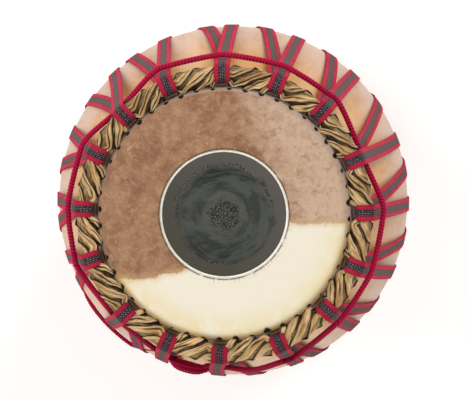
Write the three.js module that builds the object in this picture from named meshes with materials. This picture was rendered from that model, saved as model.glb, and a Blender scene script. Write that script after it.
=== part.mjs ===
// Mridangam: a laced barrel drum with a treble head and a bass head, standing on its bass head.
// Millimetres, +Z up along the drum's axis. The origin is on the axis, on the bass head's outer face.
// Outlines are drawn as (radius, height) points in one half plane and turned about the axis.
import * as THREE from "three";

// Wooden shell: two cones that run tangent into one arc at the belly.
const SHELL_LENGTH = 560;
const BELLY_FROM_TREBLE = 330;
const BELLY_RADIUS = 131;
const BELLY_ARC = 300;
const BELLY_WALL = 22;
const TREBLE_MOUTH_RADIUS = 76.5;
const BASS_MOUTH_RADIUS = 92;
const MOUTH_WALL = 12;
const MOUTH_EDGE_ROUND = 2;

// Skins, which fold over the mouth's edge into a skirt.
const TREBLE_INNER_RING_SKIN = 0.9;
const TREBLE_MAIN_SKIN = 0.6;
const TREBLE_OUTER_RING_SKIN = 1.3;
const BASS_MAIN_SKIN = 0.8;
const BASS_OUTER_RING_SKIN = 2;
const TREBLE_INNER_RING_OPENING = 58;
const TREBLE_OUTER_RING_OPENING = 41.6;
const BASS_OUTER_RING_OPENING = 56;
const SKIRT_LENGTH = 13;
// How far each main skin moves in or out when it is struck.
const MEMBRANE_TRAVEL = 0.6;

// Black tuning patch, built up in three terraces on the treble main skin.
const PATCH_EDGE_GAP = 1.2;
const PATCH_RIM_HEIGHT = 1;
const PATCH_TERRACE_RADIUS = 32;
const PATCH_TERRACE_HEIGHT = 1.8;
const PATCH_DOME_RADIUS = 13;
const PATCH_DOME_HEIGHT = 2.4;
const PATCH_STEP = 1.6;

// Reed slivers that lie between the treble main skin and the ring over it.
const SLIVER_COUNT = 8;
const SLIVER_LENGTH = 20;
const SLIVER_WIDTH = 2.2;
const SLIVER_THICKNESS = 0.4;
const SLIVER_FROM_OPENING = 6;

// Plaited hide hoops round both heads, the strap laced between them and the cord tied round the strap.
const PLAIT_RADIUS = 5.6;
const PLAIT_BELOW_FACE = 8;
const LOOP_COUNT = 16;
const FIRST_LOOP_DEG = 90;
// The lacing is pulled tight by hand, so loops and legs lie a few degrees off their even places: each
// loop at the treble plait, and the straight and the slanting leg under it where they cross the belly.
const LOOP_OFF_DEG = [1, 1.5, 0.5, -2.5, -2, -3.5, 0, -1.5, -2, 0.5, 2, 0.5, 0.5, 0, 1.5, 0.5];
const STRAIGHT_OFF_DEG = [0.5, 0.5, -2, -0.5, -0.5, -3.5, 0, -1.5, -4.5, -1, -1, -1.5, -1, -2, 1, 0.5];
const SLANT_OFF_DEG = [-4, 0, -2.5, -1.5, -5, -6, 0.5, -6, -4.5, -5, -4, -2.5, -2, -1, -1.5, -1];
const STRAP_WIDTH = 10.6;
const STRAP_THICKNESS = 1.1;
const STRAP_KNOT_FROM_PLAIT = 34;
const STRAP_KNOT_LENGTH = 15;
const STRAP_KNOT_WIDTH = 14;
const STRAP_KNOT_THICKNESS = 7;
const STRAP_KNOT_CORNER = 3;
const TIE_CORD_RADIUS = 2;
const TIE_CORD_BELOW_FACE = 38;
const TIE_CORD_SIDE_GAP = 1;
const TIE_BUNDLE_RADIUS = 4.6;
const TIE_BUNDLE_LENGTH = 18;
const TIE_BUNDLE_STAND = 2;
// Loops, counted from the first, where the strap's leg passes outside the cord.
const LOOPS_OVER_CORD = [2, 6, 7, 8, 13];
const TIE_BUNDLE_AFTER_LOOP = 7;

// Clearance between pieces that touch, and how finely round shapes are divided.
const SEAT_GAP = 0.3;
const STRAP_GAP = 0.5;
const STRAP_SKIRT_GAP = 1.9;
const SEGMENTS = 48;
const PLAIT_SEGMENTS = 64;
const BELLY_STEPS = 6;
const EDGE_STEPS = 3;
const LOOP_STEPS = 10;
const LEG_STEPS = 2;
const PLAIT_SIDES = 8;
const CORD_SIDES = 8;
const CORD_STEPS_PER_LOOP = 5;

const AXIS = new THREE.Vector3(0, 0, 1);
const LOOP_ANGLE = (2 * Math.PI) / LOOP_COUNT;
const FIRST_LOOP_ANGLE = THREE.MathUtils.degToRad(FIRST_LOOP_DEG);
const point = (radius, height) => new THREE.Vector2(radius, height);
const along = (angle) => point(Math.cos(angle), Math.sin(angle));

const hide = (color) => new THREE.MeshStandardMaterial({ color, roughness: 0.7, metalness: 0 });
const MATERIALS = {
  wood: new THREE.MeshStandardMaterial({ color: 0xd9a566, roughness: 0.45, metalness: 0 }),
  ringHide: hide(0xb08a6a),
  mainHide: hide(0xefe3c4),
  bassHide: hide(0xd8bf93),
  paste: new THREE.MeshStandardMaterial({ color: 0x454743, roughness: 0.6, metalness: 0 }),
  plaitHide: hide(0xb0935a),
  webbing: new THREE.MeshStandardMaterial({ color: 0xa01c3c, roughness: 0.85, metalness: 0 }),
  cord: new THREE.MeshStandardMaterial({ color: 0xb3123f, roughness: 0.8, metalness: 0 }),
  reed: new THREE.MeshStandardMaterial({ color: 0xcdb274, roughness: 0.8, metalness: 0 }),
};

const drum = new THREE.Group();
const add = (name, geometry, material) => {
  const mesh = new THREE.Mesh(geometry, material);
  mesh.name = name;
  drum.add(mesh);
  return mesh;
};

// A closed outline turned about the axis, with its faces pointing out.
function turned(outline, segments = SEGMENTS) {
  const inOrder = THREE.ShapeUtils.area(outline) > 0 ? outline : [...outline].reverse();
  const geometry = new THREE.LatheGeometry([...inOrder, inOrder[0]], segments);
  return geometry.rotateX(Math.PI / 2);
}

// Points of an arc, both ends included.
function arcPoints(centre, radius, from, to, steps) {
  return Array.from({ length: steps + 1 }, (_, i) =>
    along(from + ((to - from) * i) / steps).multiplyScalar(radius).add(centre),
  );
}

// Angle of the outward normal of the line that touches two circles. A negative near radius means
// that the line passes on the axis side of the near circle.
function touchingNormal(near, nearRadius, far, farRadius) {
  const span = far.clone().sub(near);
  const lean = Math.acos((nearRadius - farRadius) / span.length());
  const normals = [along(span.angle() + lean), along(span.angle() - lean)];
  const outward = normals[0].x > normals[1].x ? normals[0] : normals[1];
  return Math.atan2(outward.y, outward.x);
}

// Heights of the skins, counted outwards from the shell's end. Each main skin has room to move.
const membraneGap = SEAT_GAP + MEMBRANE_TRAVEL;
const innerRingTop = SEAT_GAP + TREBLE_INNER_RING_SKIN;
const trebleMainBottom = innerRingTop + membraneGap;
const trebleMainTop = trebleMainBottom + TREBLE_MAIN_SKIN;
const sliverBottom = trebleMainTop + membraneGap;
const trebleRingBottom = sliverBottom + SLIVER_THICKNESS + SEAT_GAP;
const trebleStack = trebleRingBottom + TREBLE_OUTER_RING_SKIN;
const bassMainTop = membraneGap + BASS_MAIN_SKIN;
const bassRingBottom = bassMainTop + membraneGap;
const bassStack = bassRingBottom + BASS_OUTER_RING_SKIN;
const bassEnd = bassStack;
const trebleEnd = bassEnd + SHELL_LENGTH;
const bellyHeight = trebleEnd - BELLY_FROM_TREBLE;
const bellyCentre = point(BELLY_RADIUS - BELLY_ARC, bellyHeight);

// One mouth of the shell. Its own heights count outwards from the shell's end, and place() turns
// them into the drum's heights.
function mouth(radius, end, out, stack) {
  const corner = point(radius, end);
  const normal = touchingNormal(corner, 0, bellyCentre, BELLY_ARC);
  const slope = Math.abs(normal);
  const inset = (MOUTH_EDGE_ROUND * (1 - Math.sin(slope))) / Math.cos(slope);
  const edgeCentre = point(radius - inset, -MOUTH_EDGE_ROUND);
  const place = (p) => point(p.x, end + out * p.y);
  return { radius, end, out, stack, normal, slope, edgeCentre, place };
}
const treble = mouth(TREBLE_MOUTH_RADIUS, trebleEnd, 1, trebleStack);
const bass = mouth(BASS_MOUTH_RADIUS, bassEnd, -1, bassStack);

// The mouth's rounded edge, set off outwards by a distance.
const edgePoints = (m, offset) =>
  arcPoints(m.edgeCentre, MOUTH_EDGE_ROUND + offset, Math.PI / 2, m.slope, EDGE_STEPS);

function shellOutline() {
  const bore = BELLY_ARC - BELLY_WALL;
  const boreNormal = (m) => {
    const corner = point(m.radius - MOUTH_WALL, m.end);
    return touchingNormal(corner, 0, bellyCentre, bore);
  };
  const outside = arcPoints(bellyCentre, BELLY_ARC, treble.normal, bass.normal, BELLY_STEPS);
  const inside = arcPoints(bellyCentre, bore, boreNormal(bass), boreNormal(treble), BELLY_STEPS);
  return [
    point(TREBLE_MOUTH_RADIUS - MOUTH_WALL, trebleEnd),
    ...edgePoints(treble, 0).map(treble.place),
    ...outside,
    ...edgePoints(bass, 0).map(bass.place).reverse(),
    point(BASS_MOUTH_RADIUS - MOUTH_WALL, bassEnd),
    ...inside,
  ];
}
add("shell", turned(shellOutline()), MATERIALS.wood);

// One skin: flat over the mouth, round its edge and down a skirt, between two offsets from the shell.
function skinOutline(m, inner, outer, opening) {
  const downSkirt = point(Math.sin(m.slope), -Math.cos(m.slope)).multiplyScalar(SKIRT_LENGTH);
  const side = (offset) => {
    const edge = edgePoints(m, offset);
    const skirtEnd = edge[edge.length - 1].clone().add(downSkirt);
    return [point(opening, offset), ...edge, skirtEnd];
  };
  return [...side(outer), ...side(inner).reverse()].map(m.place);
}

[
  ["treble_inner_ring_skin", treble, SEAT_GAP, innerRingTop, TREBLE_INNER_RING_OPENING, "mainHide"],
  ["treble_main_skin", treble, trebleMainBottom, trebleMainTop, 0, "mainHide"],
  ["treble_outer_ring_skin", treble, trebleRingBottom, trebleStack, TREBLE_OUTER_RING_OPENING, "ringHide"],
  ["bass_main_skin", bass, membraneGap, bassMainTop, 0, "mainHide"],
  ["bass_outer_ring_skin", bass, bassRingBottom, bassStack, BASS_OUTER_RING_OPENING, "bassHide"],
].forEach(([name, m, inner, outer, opening, material]) => {
  add(name, turned(skinOutline(m, inner, outer, opening)), MATERIALS[material]);
});

// Black patch: a rim, a terrace and a dome, inside the outer ring's opening.
function patchOutline() {
  const rim = TREBLE_OUTER_RING_OPENING - PATCH_EDGE_GAP;
  return [
    point(0, 0),
    point(rim, 0),
    point(rim - PATCH_STEP / 2, PATCH_RIM_HEIGHT),
    point(PATCH_TERRACE_RADIUS + PATCH_STEP, PATCH_RIM_HEIGHT),
    point(PATCH_TERRACE_RADIUS, PATCH_TERRACE_HEIGHT),
    point(PATCH_DOME_RADIUS + PATCH_STEP, PATCH_TERRACE_HEIGHT),
    point(PATCH_DOME_RADIUS, PATCH_DOME_HEIGHT),
    point(0, PATCH_DOME_HEIGHT),
  ];
}
const patch = add("treble_black_patch", turned(patchOutline()), MATERIALS.paste);
patch.position.z = trebleEnd + trebleMainTop + SEAT_GAP;

// Reed slivers, laid like spokes under the treble outer ring.
const sliverRadius = TREBLE_OUTER_RING_OPENING + SLIVER_FROM_OPENING + SLIVER_LENGTH / 2;
const sliverHeight = trebleEnd + sliverBottom + SLIVER_THICKNESS / 2;
for (let i = 0; i < SLIVER_COUNT; i++) {
  const spoke = new THREE.Group();
  const sliver = new THREE.Mesh(
    new THREE.BoxGeometry(SLIVER_LENGTH, SLIVER_WIDTH, SLIVER_THICKNESS),
    MATERIALS.reed,
  );
  sliver.name = `reed_sliver_${i + 1}`;
  sliver.position.set(sliverRadius, 0, sliverHeight);
  spoke.rotation.z = (2 * Math.PI * (i + 0.5)) / SLIVER_COUNT;
  drum.add(spoke.add(sliver));
}

// The plait's centre: below the face, and clear of the skirt by one thickness of strap.
function plaitCentre(m) {
  const stand = STRAP_SKIRT_GAP + STRAP_THICKNESS + STRAP_GAP + PLAIT_RADIUS;
  const beside = along(m.slope).multiplyScalar(MOUTH_EDGE_ROUND + m.stack + stand).add(m.edgeCentre);
  const down = (beside.y - (m.stack - PLAIT_BELOW_FACE)) / Math.cos(m.slope);
  return m.place(beside.add(point(Math.sin(m.slope), -Math.cos(m.slope)).multiplyScalar(down)));
}
const hoops = { treble: plaitCentre(treble), bass: plaitCentre(bass) };
for (const [name, centre] of Object.entries(hoops)) {
  const section = arcPoints(centre, PLAIT_RADIUS, 0, 2 * Math.PI, PLAIT_SIDES).slice(1);
  add(`${name}_plait`, turned(section, PLAIT_SEGMENTS), MATERIALS.plaitHide);
}

// Lacing. Each leg touches a plait's loop, runs straight to the belly, round it and on to the other
// plait. On one plait the leg lies outside the hoop and on the other it comes from behind it.
const loopRadius = PLAIT_RADIUS + STRAP_GAP + STRAP_THICKNESS / 2;
const strapBelly = BELLY_ARC + SEAT_GAP + STRAP_THICKNESS / 2;
const OUTSIDE = 1;
const BEHIND = -1;
const legEnd = (hoop, side) => {
  const normal = touchingNormal(hoop, side * loopRadius, bellyCentre, strapBelly);
  const on = along(normal).multiplyScalar(side * loopRadius).add(hoop);
  const belly = along(normal).multiplyScalar(strapBelly).add(bellyCentre);
  return { normal, on, belly };
};
const legs = {
  trebleOutside: legEnd(hoops.treble, OUTSIDE),
  trebleBehind: legEnd(hoops.treble, BEHIND),
  bassOutside: legEnd(hoops.bass, OUTSIDE),
  bassBehind: legEnd(hoops.bass, BEHIND),
};

// Stations of a path: a point of the half plane, the strap's normal there and the turn about the axis.
const station = (p, normal, turn) => ({ p, normal, turn });
const between = (a, b, steps) =>
  Array.from({ length: steps + 1 }, (_, i) => a.clone().lerp(b, i / steps));

// A leg from one plait to the other. Its turn about the axis is a function of height.
function legStations(start, end, turnAt) {
  const belly = arcPoints(bellyCentre, strapBelly, start.normal, end.normal, BELLY_STEPS);
  const normals = belly.map((p) => p.clone().sub(bellyCentre).angle());
  const before = between(start.on, belly[0], LEG_STEPS).slice(0, -1);
  const after = between(belly[belly.length - 1], end.on, LEG_STEPS).slice(1);
  return [
    ...before.map((p) => station(p, start.normal, turnAt(p.y))),
    ...belly.map((p, i) => station(p, normals[i], turnAt(p.y))),
    ...after.map((p) => station(p, end.normal, turnAt(p.y))),
  ];
}

// The turn of each leg: a parabola of height through its angles at the treble plait, on the belly and
// at the bass plait.
function turnCurve(atTreble, onBelly, atBass) {
  const top = hoops.treble.y;
  const middle = bellyCentre.y;
  const low = hoops.bass.y;
  return (height) => {
    const fromTop = (height - middle) * (height - low);
    const fromMiddle = (height - top) * (height - low);
    const fromLow = (height - top) * (height - middle);
    return (
      (atTreble * fromTop) / ((top - middle) * (top - low)) +
      (onBelly * fromMiddle) / ((middle - top) * (middle - low)) +
      (atBass * fromLow) / ((low - top) * (low - middle))
    );
  };
}
const offBy = (list, i) => THREE.MathUtils.degToRad(list[i % LOOP_COUNT]);
const evenTurn = (i) => FIRST_LOOP_ANGLE + i * LOOP_ANGLE;
const loopTurn = (i) => evenTurn(i) + offBy(LOOP_OFF_DEG, i);
const bellyShare = (hoops.treble.y - bellyCentre.y) / (hoops.treble.y - hoops.bass.y);
const slantOnBelly = LOOP_ANGLE * bellyShare;
const straightTurn = (i) =>
  turnCurve(loopTurn(i), evenTurn(i) + offBy(STRAIGHT_OFF_DEG, i), evenTurn(i));
const slantTurn = (i) =>
  turnCurve(loopTurn(i), evenTurn(i) + slantOnBelly + offBy(SLANT_OFF_DEG, i), evenTurn(i + 1));

// Squarely round a plait, from its outside over the end of the drum to the space behind it.
function loopStations(hoop, outside, behind, out, turn) {
  const last = behind.normal + out * Math.PI;
  const round = arcPoints(hoop, loopRadius, outside.normal, last, LOOP_STEPS).slice(1, -1);
  return round.map((p) => station(p, p.clone().sub(hoop).angle(), turn));
}

// A station as a place in space, with the strap's normal and the direction across it there.
function inSpace({ p, normal, turn }) {
  const out = new THREE.Vector3(Math.cos(turn), Math.sin(turn), 0);
  const place = out.clone().multiplyScalar(p.x).setZ(p.y);
  const across = out.clone().cross(AXIS);
  return { place, across, normal: out.multiplyScalar(Math.cos(normal)).setZ(Math.sin(normal)) };
}

// A flat band of one width and thickness that follows the stations, closed at both ends.
function band(stations, width, thickness) {
  const frames = stations.map(inSpace);
  const corners = [];
  const quarter = [[1, 1], [-1, 1], [-1, -1], [1, -1]];
  let lastNormal = frames[0].normal;
  for (const { place, across, normal } of frames) {
    if (normal.dot(lastNormal) < 0) normal.negate();
    lastNormal = normal;
    for (const [a, u] of quarter) {
      const corner = place.clone().addScaledVector(across, (a * width) / 2);
      corners.push(...corner.addScaledVector(normal, (u * thickness) / 2).toArray());
    }
  }
  const faces = [0, 1, 2, 0, 2, 3];
  for (let ring = 0; ring < frames.length - 1; ring++) {
    for (let side = 0; side < 4; side++) {
      const a = 4 * ring + side;
      const b = 4 * ring + ((side + 1) % 4);
      faces.push(a, a + 4, b, b, a + 4, b + 4);
    }
  }
  const end = 4 * (frames.length - 1);
  faces.push(end, end + 2, end + 1, end, end + 3, end + 2);
  const geometry = new THREE.BufferGeometry();
  geometry.setAttribute("position", new THREE.Float32BufferAttribute(corners, 3));
  return geometry.setIndex(faces);
}

// The strap's two ends meet in a knot on the leg that comes to the first bass loop.
const { on: knotLegEnd, belly: knotLegBelly } = legs.bassOutside;
const onKnotLeg = (distance) => {
  const reach = distance / knotLegEnd.distanceTo(knotLegBelly);
  return knotLegEnd.clone().lerp(knotLegBelly, reach);
};
const lastSlantTurn = slantTurn(LOOP_COUNT - 1);
const knotStation = (distance) => {
  const p = onKnotLeg(distance);
  return station(p, legs.bassOutside.normal, lastSlantTurn(p.y));
};
const knotHalf = STRAP_KNOT_LENGTH / 2 + STRAP_GAP;

// Straight leg up to the treble loop, round it, slanting leg down to the next bass loop, round that.
function strapStations() {
  const path = [
    knotStation(STRAP_KNOT_FROM_PLAIT - knotHalf),
    station(knotLegEnd, legs.bassOutside.normal, FIRST_LOOP_ANGLE),
  ];
  for (let i = 0; i < LOOP_COUNT; i++) {
    const slant = legStations(legs.trebleBehind, legs.bassOutside, slantTurn(i));
    path.push(
      ...loopStations(hoops.bass, legs.bassOutside, legs.bassBehind, bass.out, evenTurn(i)),
      ...legStations(legs.bassBehind, legs.trebleOutside, straightTurn(i)),
      ...loopStations(hoops.treble, legs.trebleOutside, legs.trebleBehind, treble.out, loopTurn(i)),
      ...(i < LOOP_COUNT - 1 ? slant : slant.slice(0, -LEG_STEPS)),
    );
  }
  path.push(knotStation(STRAP_KNOT_FROM_PLAIT + knotHalf));
  return path;
}
const strapPath = strapStations();
add("lacing_strap", band(strapPath, STRAP_WIDTH, STRAP_THICKNESS), MATERIALS.webbing);

// Least gap of the strap to itself, measured on points across it. Points that are nearer than the
// strap's own turn round a plait are one stretch of strap.
function leastSelfGap(stations) {
  const shares = [-0.5, -0.25, 0, 0.25, 0.5];
  const rows = [];
  let length = 0;
  stations.map(inSpace).forEach((frame, i, frames) => {
    const next = frames[Math.min(i + 1, frames.length - 1)];
    const steps = Math.ceil(frame.place.distanceTo(next.place) / STRAP_WIDTH);
    for (let step = 0; step < steps; step++) {
      const centre = frame.place.clone().lerp(next.place, step / steps);
      const across = shares.map((share) =>
        centre.clone().addScaledVector(frame.across, share * STRAP_WIDTH),
      );
      rows.push({ across, at: length + (frame.place.distanceTo(next.place) * step) / steps });
    }
    length += frame.place.distanceTo(next.place);
  });
  const oneTurn = 2 * Math.PI * loopRadius;
  let least = Infinity;
  for (const a of rows) {
    for (const b of rows) {
      if (b.at - a.at < oneTurn) continue;
      for (const p of a.across) for (const q of b.across) least = Math.min(least, p.distanceTo(q));
    }
  }
  return least - STRAP_THICKNESS;
}
console.log(`lacing strap, least gap to itself: ${leastSelfGap(strapPath).toFixed(2)} mm`);

// A block with rounded corners for the strap's knot, set along its leg.
function knotBlock() {
  const half = point(STRAP_KNOT_LENGTH / 2, STRAP_KNOT_WIDTH / 2);
  const c = STRAP_KNOT_CORNER;
  const shape = new THREE.Shape();
  shape.moveTo(-half.x + c, -half.y);
  shape.lineTo(half.x - c, -half.y);
  shape.quadraticCurveTo(half.x, -half.y, half.x, -half.y + c);
  shape.lineTo(half.x, half.y - c);
  shape.quadraticCurveTo(half.x, half.y, half.x - c, half.y);
  shape.lineTo(-half.x + c, half.y);
  shape.quadraticCurveTo(-half.x, half.y, -half.x, half.y - c);
  shape.lineTo(-half.x, -half.y + c);
  shape.quadraticCurveTo(-half.x, -half.y, -half.x + c, -half.y);
  const settings = { depth: STRAP_KNOT_THICKNESS, bevelEnabled: false, curveSegments: 3 };
  return new THREE.ExtrudeGeometry(shape, settings).translate(0, 0, -STRAP_KNOT_THICKNESS / 2);
}
const strapKnot = add("lacing_knot", knotBlock(), MATERIALS.webbing);
const knotSeat = inSpace(knotStation(STRAP_KNOT_FROM_PLAIT));
const knotAhead = inSpace(knotStation(STRAP_KNOT_FROM_PLAIT + knotHalf)).place;
const knotAlong = knotAhead.sub(knotSeat.place).normalize();
const knotAcross = knotSeat.normal.clone().cross(knotAlong).normalize();
const knotUp = knotAlong.clone().cross(knotAcross);
strapKnot.quaternion.setFromRotationMatrix(
  new THREE.Matrix4().makeBasis(knotAlong, knotAcross, knotUp),
);
strapKnot.position.copy(knotSeat.place);

// Tie cord: round the drum under the treble head, outside most strap legs and behind a few.
const tieHeight = trebleEnd + trebleStack - TIE_CORD_BELOW_FACE;
function tieRadius(side) {
  const { normal, on } = legs.trebleOutside;
  const legRadius = on.x - (tieHeight - on.y) * Math.tan(normal);
  const stand = STRAP_THICKNESS / 2 + SEAT_GAP + TIE_CORD_RADIUS;
  return legRadius + (side * stand) / Math.cos(normal);
}
const tieRadiusAt = (loop) => tieRadius(LOOPS_OVER_CORD.includes(loop % LOOP_COUNT) ? -1 : 1);

// The cord crosses each leg squarely, from one side of it to the other.
function crossing(loop) {
  const turn = straightTurn(loop)(tieHeight);
  const reach = STRAP_WIDTH / 2 + TIE_CORD_SIDE_GAP;
  return [-reach, reach].map((aside) =>
    new THREE.Vector3(tieRadiusAt(loop), aside, tieHeight).applyAxisAngle(AXIS, turn),
  );
}

// The cord's two ends are wound into a long bundle that stands out between two legs.
const besideBundle = [0, 1].map((i) => straightTurn(TIE_BUNDLE_AFTER_LOOP + i)(tieHeight));
const bundleTurn = (besideBundle[0] + besideBundle[1]) / 2;
const bundleRadius = tieRadius(0) + TIE_BUNDLE_STAND;
const onBundle = (aside) =>
  new THREE.Vector3(bundleRadius, aside, tieHeight).applyAxisAngle(AXIS, bundleTurn);
const bundleEnd = TIE_BUNDLE_LENGTH / 2 + SEAT_GAP;

function tieCordPath() {
  const crossings = [];
  for (let i = 1; i <= LOOP_COUNT; i++) crossings.push(...crossing(TIE_BUNDLE_AFTER_LOOP + i));
  const start = [onBundle(bundleEnd), onBundle(bundleEnd + SEAT_GAP)];
  const finish = [onBundle(-bundleEnd - SEAT_GAP), onBundle(-bundleEnd)];
  return new THREE.CatmullRomCurve3([...start, ...crossings, ...finish]);
}
const cordSection = new THREE.Shape(
  arcPoints(point(0, 0), TIE_CORD_RADIUS, 0, 2 * Math.PI, CORD_SIDES).slice(1),
);
const cordSettings = {
  steps: CORD_STEPS_PER_LOOP * LOOP_COUNT,
  extrudePath: tieCordPath(),
};
add("tie_cord", new THREE.ExtrudeGeometry(cordSection, cordSettings), MATERIALS.cord);
const bundleStraight = TIE_BUNDLE_LENGTH - 2 * TIE_BUNDLE_RADIUS;
const tieKnot = add(
  "tie_knot",
  new THREE.CapsuleGeometry(TIE_BUNDLE_RADIUS, bundleStraight, CORD_SIDES / 2, CORD_SIDES + 4),
  MATERIALS.cord,
);
tieKnot.rotation.z = bundleTurn;
tieKnot.position.copy(onBundle(0));

export default drum;
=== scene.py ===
"""Mridangam: fine surfaces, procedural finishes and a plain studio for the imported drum."""
import math

import bpy
import numpy as np
from mathutils import Matrix, Vector


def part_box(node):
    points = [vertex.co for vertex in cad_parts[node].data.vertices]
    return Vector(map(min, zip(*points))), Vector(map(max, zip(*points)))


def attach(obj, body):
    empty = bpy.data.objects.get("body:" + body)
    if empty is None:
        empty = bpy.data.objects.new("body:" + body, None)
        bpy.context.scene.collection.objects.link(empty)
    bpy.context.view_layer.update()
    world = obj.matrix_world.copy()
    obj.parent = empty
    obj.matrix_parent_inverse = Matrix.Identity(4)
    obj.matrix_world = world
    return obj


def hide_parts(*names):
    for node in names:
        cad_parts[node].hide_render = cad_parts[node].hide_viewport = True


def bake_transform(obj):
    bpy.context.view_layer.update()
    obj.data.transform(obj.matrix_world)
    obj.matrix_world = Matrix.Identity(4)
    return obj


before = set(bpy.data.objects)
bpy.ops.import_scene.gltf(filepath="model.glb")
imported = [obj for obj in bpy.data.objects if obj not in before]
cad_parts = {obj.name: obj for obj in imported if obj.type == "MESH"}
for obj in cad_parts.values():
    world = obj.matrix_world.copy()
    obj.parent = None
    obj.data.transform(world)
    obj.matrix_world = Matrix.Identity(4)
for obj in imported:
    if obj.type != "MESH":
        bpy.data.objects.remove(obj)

bl_info = {
    "name": "Mridangam",
    "version": (1, 0, 0),
    "blender": (4, 5, 0),
    "location": "View3D > Sidebar > Mridangam",
    "description": "Shell, heads, plaits, lacing and tie cord of a mridangam",
    "category": "Object",
}

TAU = 2 * math.pi
QUARTER = math.pi / 2
MM = 0.001


def level(node, top=True):
    """Height of a node's highest or lowest point."""
    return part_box(node)[1 if top else 0][2]


def reach(node):
    """Largest distance of a node from the drum's axis, along X."""
    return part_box(node)[1][0]


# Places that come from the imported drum.
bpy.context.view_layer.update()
TREBLE_END = level("shell")
BASS_END = level("shell", top=False)
TREBLE_FACE = level("treble_outer_ring_skin")
BASS_FACE = level("bass_outer_ring_skin", top=False)
BELLY_RADIUS = reach("shell")
PLAIT_RADIUS = (level("treble_plait") - level("treble_plait", top=False)) / 2
TREBLE_PLAIT = np.array([reach("treble_plait"), level("treble_plait")]) - PLAIT_RADIUS
BASS_PLAIT = np.array([reach("bass_plait"), level("bass_plait")]) - PLAIT_RADIUS


def colour(code):
    """A colour from six hex digits of sRGB, as linear red, green, blue and alpha."""
    parts = np.array([int(code[i : i + 2], 16) / 255 for i in (0, 2, 4)])
    linear = np.where(parts <= 0.04045, parts / 12.92, ((parts + 0.055) / 1.055) ** 2.4)
    return (*linear.tolist(), 1.0)


# Settings


def a_length(name, description, millimetres):
    """A length in metres, given in millimetres."""
    default = millimetres * MM
    return bpy.props.FloatProperty(
        name=name, description=description, default=default, unit="LENGTH", precision=5
    )


def an_angle(name, description, degrees):
    """An angle in radians, given in degrees."""
    default = math.radians(degrees)
    return bpy.props.FloatProperty(name=name, description=description, default=default, subtype="ANGLE")


def a_count(name, description, default, least):
    """A whole number."""
    return bpy.props.IntProperty(name=name, description=description, default=default, min=least)


def a_colour(name, description, code):
    """A colour, given as six hex digits."""
    default = colour(code)
    return bpy.props.FloatVectorProperty(
        name=name, description=description, default=default, size=4, subtype="COLOR", min=0, max=1
    )


class ShellSettings(bpy.types.PropertyGroup):
    """Sizes and colours of the wooden shell."""

    belly_from_treble: a_length("Belly height", "Distance of the belly from the treble mouth", 330)
    belly_arc: a_length("Belly arc", "Radius of the arc that joins the two cones", 300)
    treble_mouth: a_length("Treble mouth", "Outer radius of the treble mouth", 76.5)
    bass_mouth: a_length("Bass mouth", "Outer radius of the bass mouth", 92)
    mouth_wall: a_length("Mouth wall", "Thickness of the wood at the mouths", 12)
    belly_wall: a_length("Belly wall", "Thickness of the wood at the belly", 22)
    edge_round: a_length("Edge", "Rounding of the mouths' outer edges", 2)
    # Honey paints shade and warm bounce light near the heads, and pale paints a sheen at the belly.
    honey: a_colour("Honey", "Wood near the heads", "d89640")
    pale: a_colour("Pale", "Wood at the belly", "ceae9a")
    grain: a_colour("Grain", "Darker streaks of the grain", "c07c3c")


class HeadSettings(bpy.types.PropertyGroup):
    """Sizes and colours of the two heads."""

    treble_ring: a_length("Treble ring", "Thickness of the treble outer ring", 1.3)
    treble_main: a_length("Treble skin", "Thickness of the treble main skin", 0.6)
    treble_opening: a_length("Treble opening", "Radius of the treble ring's opening", 41.6)
    bass_ring: a_length("Bass ring", "Thickness of the bass outer ring", 2)
    bass_main: a_length("Bass skin", "Thickness of the bass main skin", 0.8)
    bass_opening: a_length("Bass opening", "Radius of the bass ring's opening", 56)
    skirt: a_length("Skirt", "Length of the skins below the bend", 13)
    hole_depth: a_length("Hole depth", "Depth of the holes that the plait's strands pass", 0.7)
    brown: a_colour("Brown", "Brown part of the treble ring", "9a7150")
    russet: a_colour("Russet", "Darker patches of the brown part", "81563a")
    blush: a_colour("Blush", "Lighter patches of the brown part", "b28c70")
    cream: a_colour("Cream", "Pale part of the treble ring", "e5dcc8")
    straw: a_colour("Straw", "Pale part near the plait", "e0cf9f")
    rim: a_colour("Rim", "Bent edge of the brown part", "c4aa9b")
    main: a_colour("Main skin", "Scraped main skins", "fdf8ec")
    bass: a_colour("Bass ring", "Thick ring of the bass head", "cfae7d")


class PatchSettings(bpy.types.PropertyGroup):
    """Sizes and colours of the black tuning patch."""

    radius: a_length("Radius", "Radius of the patch", 40.4)
    rim_height: a_length("Rim", "Height of the rim", 1)
    terrace: a_length("Terrace", "Radius of the middle terrace", 32)
    terrace_height: a_length("Terrace height", "Height of the middle terrace", 1.8)
    dome: a_length("Dome", "Radius of the dome", 13)
    dome_height: a_length("Dome height", "Height of the dome", 2.4)
    grey: a_colour("Grey", "Smooth rim", "444138")
    black: a_colour("Black", "Rubbed dark rings", "171916")
    crack: a_colour("Cracks", "Cracks in the dome", "0d0d0c")


class PlaitSettings(bpy.types.PropertyGroup):
    """Sizes and colours of the plaited hoops."""

    strands: a_count("Strands", "Strands in each plait", 4, 2)
    turns: a_count("Turns", "Turns of a strand round the hoop", 12, 1)
    reach: a_length("Reach", "How far a strand's path goes in and out from the hoop's middle", 3.9)
    rise: a_length("Rise", "How far a strand's path goes up and down from the hoop's middle", 3.6)
    hole_reach: a_length("Hole reach", "How much further the strands reach in to their holes", 5.8)
    width: a_length("Width", "Half width of a strand", 2.7)
    thickness: a_length("Thickness", "Half thickness of a strand", 1.0)
    first_hole: an_angle("First hole", "Angle from a loop to the next hole", 5.25)
    light: a_colour("Light", "Crests of the strands", "efcf9c")
    tan: a_colour("Tan", "Main colour of the strands", "bb8a4b")
    # Dark is painted shade on the strands' sides, splits and core, and also the colour of their fine dark
    # specks.
    dark: a_colour("Dark", "Creases of the strands", "120a04")


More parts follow.
